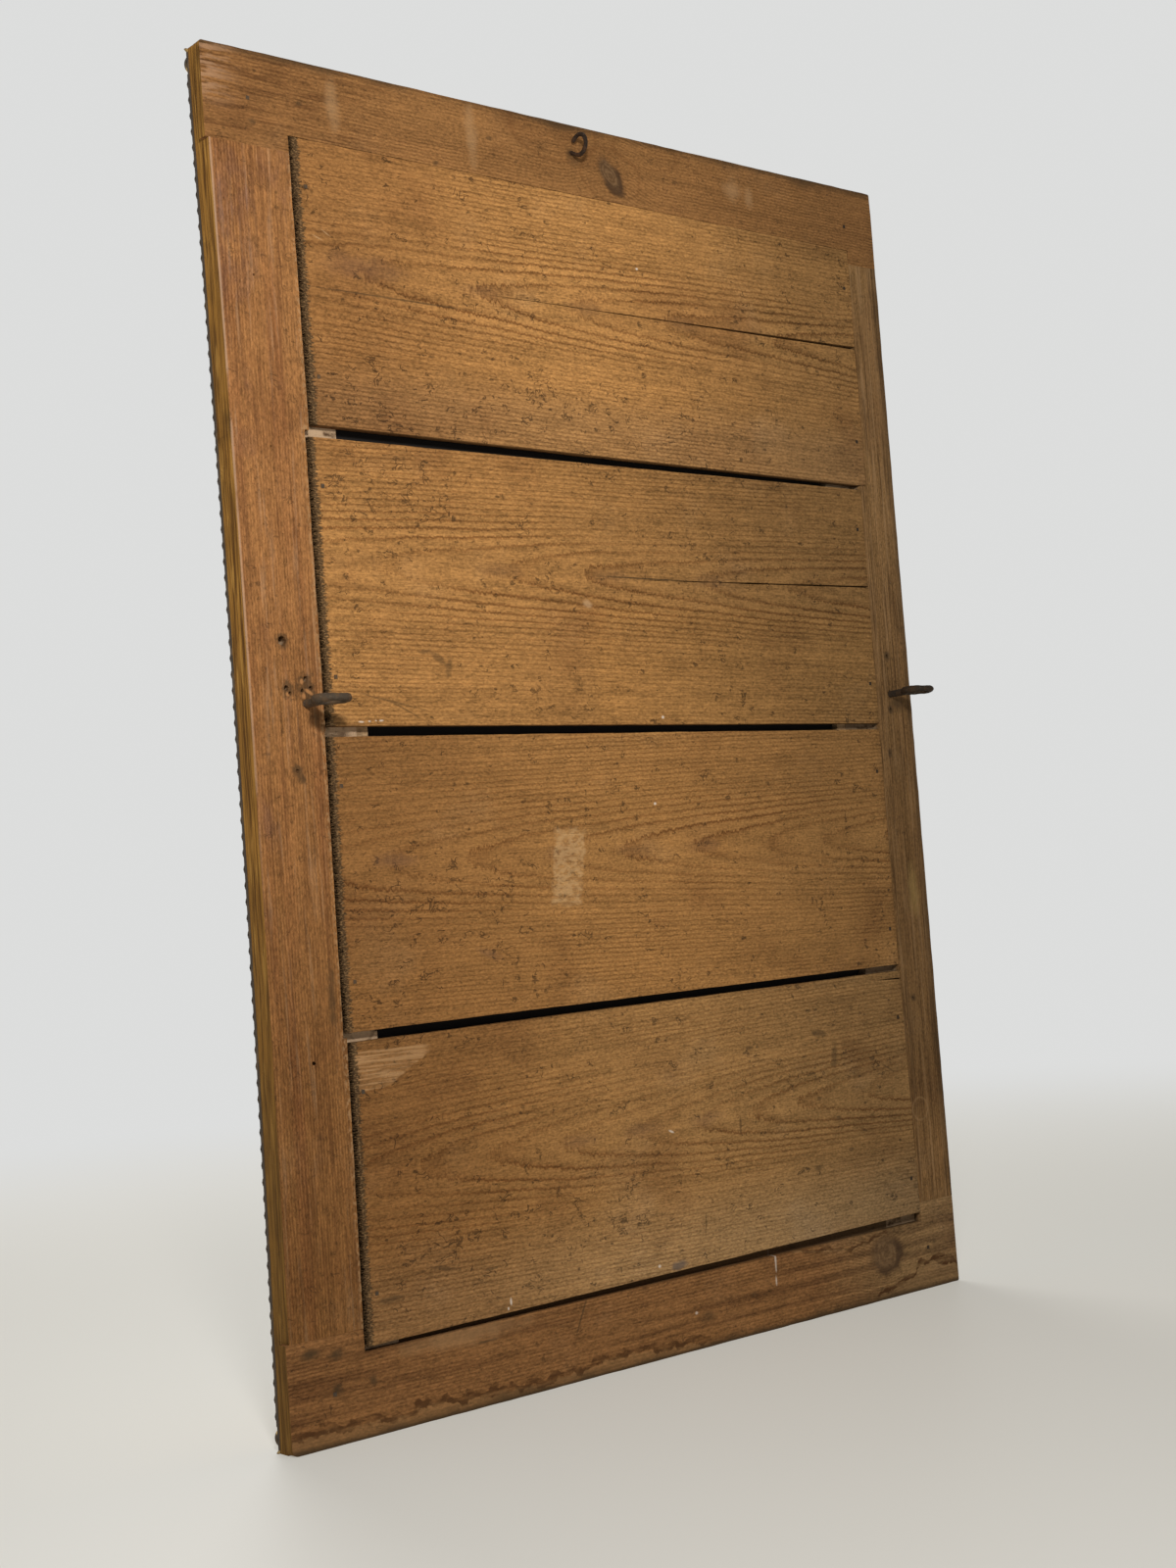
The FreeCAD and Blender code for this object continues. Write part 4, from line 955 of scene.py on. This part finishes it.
def half_pearl(radius, height, segments, rings):
    """A half pearl that stands towards the front, on the plane y = 0."""
    bpy.ops.object.select_all(action="DESELECT")
    bpy.ops.mesh.primitive_uv_sphere_add(
        segments=segments, ring_count=rings, radius=radius, rotation=(math.pi / 2, 0, 0))
    pearl = bpy.context.object
    settle(pearl)
    with at_the_bench(pearl):
        bpy.ops.mesh.select_all(action="SELECT")
        bpy.ops.mesh.bisect(plane_co=(0, 0.05 * MM, 0), plane_no=(0, 1, 0), clear_outer=True)
        bpy.ops.mesh.select_all(action="SELECT")
        bpy.ops.transform.resize(value=(1, height / radius, 1), center_override=(0, 0, 0))
    return pearl


def bow_inwards(piece):
    """The right side's pearls follow its bow; here the side lies level, with inwards up."""
    with at_the_bench(piece):
        for corner in bmesh.from_edit_mesh(piece.data).verts:
            corner.co.z += math.sqrt(BOW_RADIUS ** 2 - corner.co.x ** 2) - BOW_RADIUS + RIGHT_BOW
        bmesh.update_edit_mesh(piece.data)


def make_pearl_strips(gilt):
    """A flat strip with a row of half pearls on each side, between the corners."""
    width, depth, margin, step = 11.6 * MM, 2 * MM, 0.3 * MM, 3 * MM
    pitch, radius, height = 12.3 * MM, 5.7 * MM, 4.8 * MM
    corner_reach = 18.6 * MM
    for side, (turn, base) in STICK_TURNS.items():
        half_run = (MID_HEIGHT if side in ("left", "right") else HALF_WIDTH) - corner_reach
        count = int(2 * half_run / pitch)
        inset = margin + (RIGHT_INSET if side == "right" else 0)
        centre = inset + width / 2
        pearl = half_pearl(radius, height, segments=12, rings=8)
        pearl.location = (-(count - 1) / 2 * pitch, -step - depth, centre)
        settle(pearl)
        apply_modifier(pearl, "ARRAY", count=count, use_relative_offset=False, use_constant_offset=True,
                       constant_offset_displace=(pitch, 0, 0))
        bpy.ops.object.select_all(action="DESELECT")
        bpy.ops.mesh.primitive_cube_add(size=1, location=(0, -step - depth / 2, centre))
        strip = bpy.context.object
        strip.scale = (2 * half_run, depth, width - 0.6 * MM)
        settle(strip)
        saw_lines(strip, "X", -half_run + 10 * MM, half_run, 20 * MM)
        ease_arrises(strip, 0.4 * MM)
        strip = join([strip, pearl], f"pearl_strip_{side}_piece")
        if side == "right":
            bow_inwards(strip)
        strip.rotation_euler = (0, math.radians(turn), 0)
        strip.location = base
        settle(strip)
        smooth(strip, 45)
        finish_piece(strip, gilt, "gilt", f"pearl_strip_{side}")


def make_corner_pearls(gilt):
    """Larger pearls on a low turned base, one in each corner."""
    pearls = []
    margin, radius, base, height = 10 * MM, 8 * MM, 2.4 * MM, 5.6 * MM
    for x in (margin - HALF_WIDTH, HALF_WIDTH - margin):
        for z in (margin, HEIGHT - margin):
            pearl = half_pearl(radius, height, segments=28, rings=14)
            with at_the_bench(pearl, "EDGE"):
                pick(pearl, "edges", lambda edge: edge.is_boundary)
                bpy.ops.mesh.extrude_region_move(TRANSFORM_OT_translate={"value": (0, 0.5 * MM, 0)})
                bpy.ops.transform.resize(value=(0.94, 1, 0.94), center_override=(0, 0, 0))
                bpy.ops.mesh.extrude_region_move(TRANSFORM_OT_translate={"value": (0, 0.4 * MM, 0)})
                bpy.ops.transform.resize(value=(1.06, 1, 1.06), center_override=(0, 0, 0))
                bpy.ops.mesh.extrude_region_move(TRANSFORM_OT_translate={"value": (0, 1.4 * MM, 0)})
            pearl.location = (x, FRONT - 3 * MM - base, z)
            settle(pearl)
            pearls.append(pearl)
    piece = join(pearls, "corner_pearls_piece")
    smooth(piece, 40)
    finish_piece(piece, gilt, "gilt", "corner_pearls")


# Iron

# Where the eyes and the hook enter the back: x and z
EYE_PLACES = ((0.319, 0.554), (-0.346, 0.565))
HOOK_PLACE = (0.010, HEIGHT - 25 * MM)


def rusty_iron(name, black, rust, bright):
    """Black iron with brown rust and rubbed specks, darker towards the left side: painted shade."""
    iron = Finish(name, 0.85, specular=0.15)
    rough = iron.grain((420, 420, 420), detail=5.0, roughness=0.65)
    patch = iron.grain((130, 130, 130), (5.0, 2.0, 1.0), detail=3.0)
    colour = iron.blend(iron.over(patch, 0.40, 0.66), black, rust)
    colour = iron.blend(iron.over(rough, 0.55, 0.75), colour, bright)
    # Painted shade: the iron on the left side darkened
    colour = iron.shade(colour, iron.over(iron.x, -0.34, 0.0, 0.42, 1.0))
    iron.link("Base Color", colour)
    iron.relief(rough, 0.6 * MM)
    return iron.material


def forged(piece):
    """Weld a piece of iron into one body with a hammered skin."""
    apply_modifier(piece, "REMESH", mode="VOXEL", voxel_size=0.55 * MM)
    apply_modifier(piece, "SMOOTH", factor=0.5, iterations=4)
    hand_planed(piece, 0.7 * MM, 0.005)
    smooth(piece, 60)


def make_eyes(iron):
    """Two level rings, each on a round shank."""
    wire, ring, reach, shank = 3.5 * MM, 12.1 * MM, 34 * MM, 3.3 * MM
    eyes = []
    for x, z in EYE_PLACES:
        bpy.ops.object.select_all(action="DESELECT")
        bpy.ops.mesh.primitive_torus_add(
            location=(x, BACK + reach, z), major_radius=ring, minor_radius=wire,
            major_segments=48, minor_segments=16)
        loop = bpy.context.object
        settle(loop)
        with at_the_bench(loop):
            pick(loop, "verts", lambda corner: corner.co.y > BACK + reach + 9 * MM)
            bpy.ops.transform.resize(value=(1, 1, 0.82), center_override=(x, BACK + reach, z))
        bpy.ops.object.select_all(action="DESELECT")
        start, end = -2 * MM, reach - ring
        bpy.ops.mesh.primitive_cylinder_add(
            vertices=20, radius=shank, depth=end - start, end_fill_type="NGON",
            location=(x, BACK + (start + end) / 2, z), rotation=(math.pi / 2, 0, 0))
        stem = bpy.context.object
        settle(stem)
        with at_the_bench(stem):
            pick(stem, "faces", lambda face: face.normal.y > 0.9)
            bpy.ops.mesh.inset(thickness=0.5 * MM)
            bpy.ops.transform.translate(value=(0, 1.5 * MM, 0))
        eye = join([loop, stem], "eye")
        forged(eye)
        eyes.append(eye)
    piece = join(eyes, "side_eyes_piece")
    finish_piece(piece, iron, "iron", "side_eyes")


def make_hook(iron):
    """A round wire drawn out of the rail, bent up and back towards the wood."""
    x, z = HOOK_PLACE
    wire, bend, lead, dip = 1.9 * MM, 8.8 * MM, 11.5 * MM, 5 * MM
    root, turn = 4 * MM, math.radians(242)
    bpy.ops.object.select_all(action="DESELECT")
    bpy.ops.mesh.primitive_circle_add(
        vertices=12, radius=wire, fill_type="NGON",
        location=(x, BACK - 3 * MM, z), rotation=(math.pi / 2, 0, 0))
    hook = bpy.context.object
    settle(hook)
    with at_the_bench(hook):
        bpy.ops.mesh.select_all(action="SELECT")
        bpy.ops.mesh.extrude_region_move(TRANSFORM_OT_translate={"value": (0, root, 0)})
        bpy.ops.mesh.extrude_region_move(TRANSFORM_OT_translate={"value": (0, lead - root, -0.9 * dip)})
        bpy.ops.mesh.extrude_region_move(TRANSFORM_OT_translate={"value": (0, 3 * MM, -0.1 * dip)})
        bpy.ops.mesh.spin(steps=22, angle=-turn, center=(x, BACK + lead, z - dip + bend), axis=(1, 0, 0))
        bpy.ops.transform.resize(value=(0.8, 0.8, 0.8))
        bpy.ops.mesh.select_all(action="SELECT")
        bpy.ops.mesh.remove_doubles(threshold=0.02 * MM)
        bpy.ops.mesh.normals_make_consistent(inside=False)
    forged(hook)
    hook.name = "hanging_hook_piece"
    finish_piece(hook, iron, "iron", "hanging_hook")


# Mirror plate and blocks

SIGHT_HALF_WIDTH = 0.261
SIGHT_HALF_HEIGHT = 0.416


def old_mirror():
    """Silvered glass with spots near its edge, and dark paint on its back."""
    glass = Finish("old_silvered_glass", 0.03, metallic=1.0, specular=0.05)
    from_edge = glass.work("MINIMUM", glass.less(SIGHT_HALF_WIDTH, glass.size(glass.x)),
                           glass.less(SIGHT_HALF_HEIGHT, glass.size(glass.less(glass.z, MID_HEIGHT))))
    fox = glass.add(glass.times(glass.grain((260, 260, 260), detail=4.0, roughness=0.6), 0.50),
                    glass.times(glass.grain((34, 34, 34), (2.0, 1.0, 5.0), detail=3.0), 0.50),
                    glass.times(glass.under(from_edge, 0.0, 0.050), 0.15))
    spots = glass.over(fox, 0.645, 0.705)
    haze = glass.over(fox, 0.54, 0.68, top=0.40)
    back = glass.over(glass.y, -9.5 * MM, -9.0 * MM)
    colour = glass.blend(haze, (0.86, 0.87, 0.86), (0.50, 0.46, 0.38))
    colour = glass.blend(glass.times(spots, 0.85), colour, (0.10, 0.085, 0.07))
    colour = glass.blend(back, colour, (0.020, 0.017, 0.015))
    dull = glass.either(back, glass.times(spots, 0.8), glass.times(haze, 0.25))
    glass.link("Base Color", colour)
    glass.link("Metallic", glass.less(1.0, dull))
    glass.link("Roughness", glass.add(0.03, glass.times(dull, 0.7)))
    return glass.material


# Stage: pale floor, soft light, and the camera at the photograph's place

BACKDROP = (0.72, 0.725, 0.72, 1.0)
SOFT_LIGHT = 0.23


def make_floor():
    """A pale floor that fades into the backdrop away from the mirror."""
    bpy.ops.object.select_all(action="DESELECT")
    bpy.ops.mesh.primitive_plane_add(size=16)
    floor = bpy.context.object
    floor.name = "floor"
    pale = Finish("pale_floor", 0.50, specular=0.20)
    pale.shader.inputs["Base Color"].default_value = (0.78, 0.76, 0.71, 1.0)
    away = pale.over(pale.length(pale.x, pale.y), 0.6, 2.6)
    tone = pale.blend(away, (0.70, 0.675, 0.60), BACKDROP[:3])
    away = pale.add(pale.times(away, 0.55), 0.45)
    glow = pale.node("ShaderNodeEmission", {"Color": tone, "Strength": 1.0})
    blended = pale.node("ShaderNodeMixShader", {0: away, 1: pale.shader.outputs[0], 2: glow})
    pale.tree.links.new(blended, pale.tree.nodes["Material Output"].inputs["Surface"])
    floor.data.materials.append(pale.material)


def make_lamp(name, place, target, size, power):
    """A round lamp that the camera does not see."""
    lamp = bpy.data.lights.new(name, "AREA")
    lamp.shape = "DISK"
    lamp.size = size
    lamp.energy = power
    holder = bpy.data.objects.new(name, lamp)
    holder.location = place
    holder.rotation_euler = (Vector(target) - Vector(place)).to_track_quat("-Z", "Y").to_euler()
    holder.visible_camera = False
    bpy.context.scene.collection.objects.link(holder)


def make_world():
    """Soft light from all round. The camera and the mirror see the backdrop instead."""
    world = bpy.data.worlds.new("studio")
    bpy.context.scene.world = world
    world.use_nodes = True
    tree = world.node_tree
    tree.nodes.clear()
    rays = tree.nodes.new("ShaderNodeLightPath")
    seen = tree.nodes.new("ShaderNodeMath")
    seen.operation = "MAXIMUM"
    shown = tree.nodes.new("ShaderNodeMath")
    shown.operation = "MAXIMUM"
    tree.links.new(rays.outputs["Is Camera Ray"], seen.inputs[0])
    tree.links.new(rays.outputs["Is Glossy Ray"], seen.inputs[1])
    tree.links.new(seen.outputs[0], shown.inputs[0])
    tree.links.new(rays.outputs["Is Transmission Ray"], shown.inputs[1])
    light = tree.nodes.new("ShaderNodeBackground")
    light.inputs["Color"].default_value = (0.97, 0.98, 1.0, 1.0)
    light.inputs["Strength"].default_value = SOFT_LIGHT
    backdrop = tree.nodes.new("ShaderNodeBackground")
    backdrop.inputs["Color"].default_value = BACKDROP
    backdrop.inputs["Strength"].default_value = 1.0
    both = tree.nodes.new("ShaderNodeMixShader")
    tree.links.new(shown.outputs[0], both.inputs[0])
    tree.links.new(light.outputs[0], both.inputs[1])
    tree.links.new(backdrop.outputs[0], both.inputs[2])
    output = tree.nodes.new("ShaderNodeOutputWorld")
    tree.links.new(both.outputs[0], output.inputs["Surface"])


def make_camera():
    """The photograph's view of the mirror's back."""
    place = Vector((1.2052, 1.3696, 0.3907))
    lens = bpy.data.cameras.new("photograph")
    lens.lens = 48.8
    lens.sensor_width = 36.0
    camera = bpy.data.objects.new("photograph", lens)
    forward = Vector((-0.6484, -0.7594, 0.0536)).normalized()
    up = Vector((-0.0222, 0.0892, 0.9958))
    right = forward.cross(up).normalized()
    up = right.cross(forward)
    turn = Matrix((right, up, -forward)).transposed().to_4x4()
    camera.matrix_world = Matrix.Translation(place) @ turn
    bpy.context.scene.collection.objects.link(camera)
    bpy.context.scene.camera = camera


make_boards()
make_stiles()
make_rails()
gilt = gold_leaf()
make_sticks(gilt)
make_pearl_strips(gilt)
make_corner_pearls(gilt)
iron = rusty_iron("rusty_iron", (0.070, 0.050, 0.033), (0.110, 0.064, 0.032), (0.175, 0.128, 0.084))
make_eyes(iron)
make_hook(rusty_iron("dark_iron", (0.026, 0.016, 0.010), (0.060, 0.030, 0.015), (0.120, 0.080, 0.052)))
put_on("board_nails", iron)
put_on("corner_nails", iron)
put_on("mirror_plate", old_mirror())
block_wood = Pine("block_wood", "X", heart=0.3, pith=0.05, slope=0.01, ring=3 * MM,
                  early=(0.42, 0.27, 0.14), late=(0.30, 0.16, 0.07), seed=9.0, line=0.7)
put_on("plate_blocks", block_wood.done())

make_floor()
make_lamp("window_behind", (0.92, 1.12, 1.02), target=(0.05, 0.0, 0.70), size=0.16, power=14.2)
make_lamp("front_fill", (-0.8, -2.2, 1.9), target=(0.0, 0.0, 0.5), size=1.6, power=32)
make_world()
make_camera()
bpy.context.scene.view_settings.view_transform = "Standard"
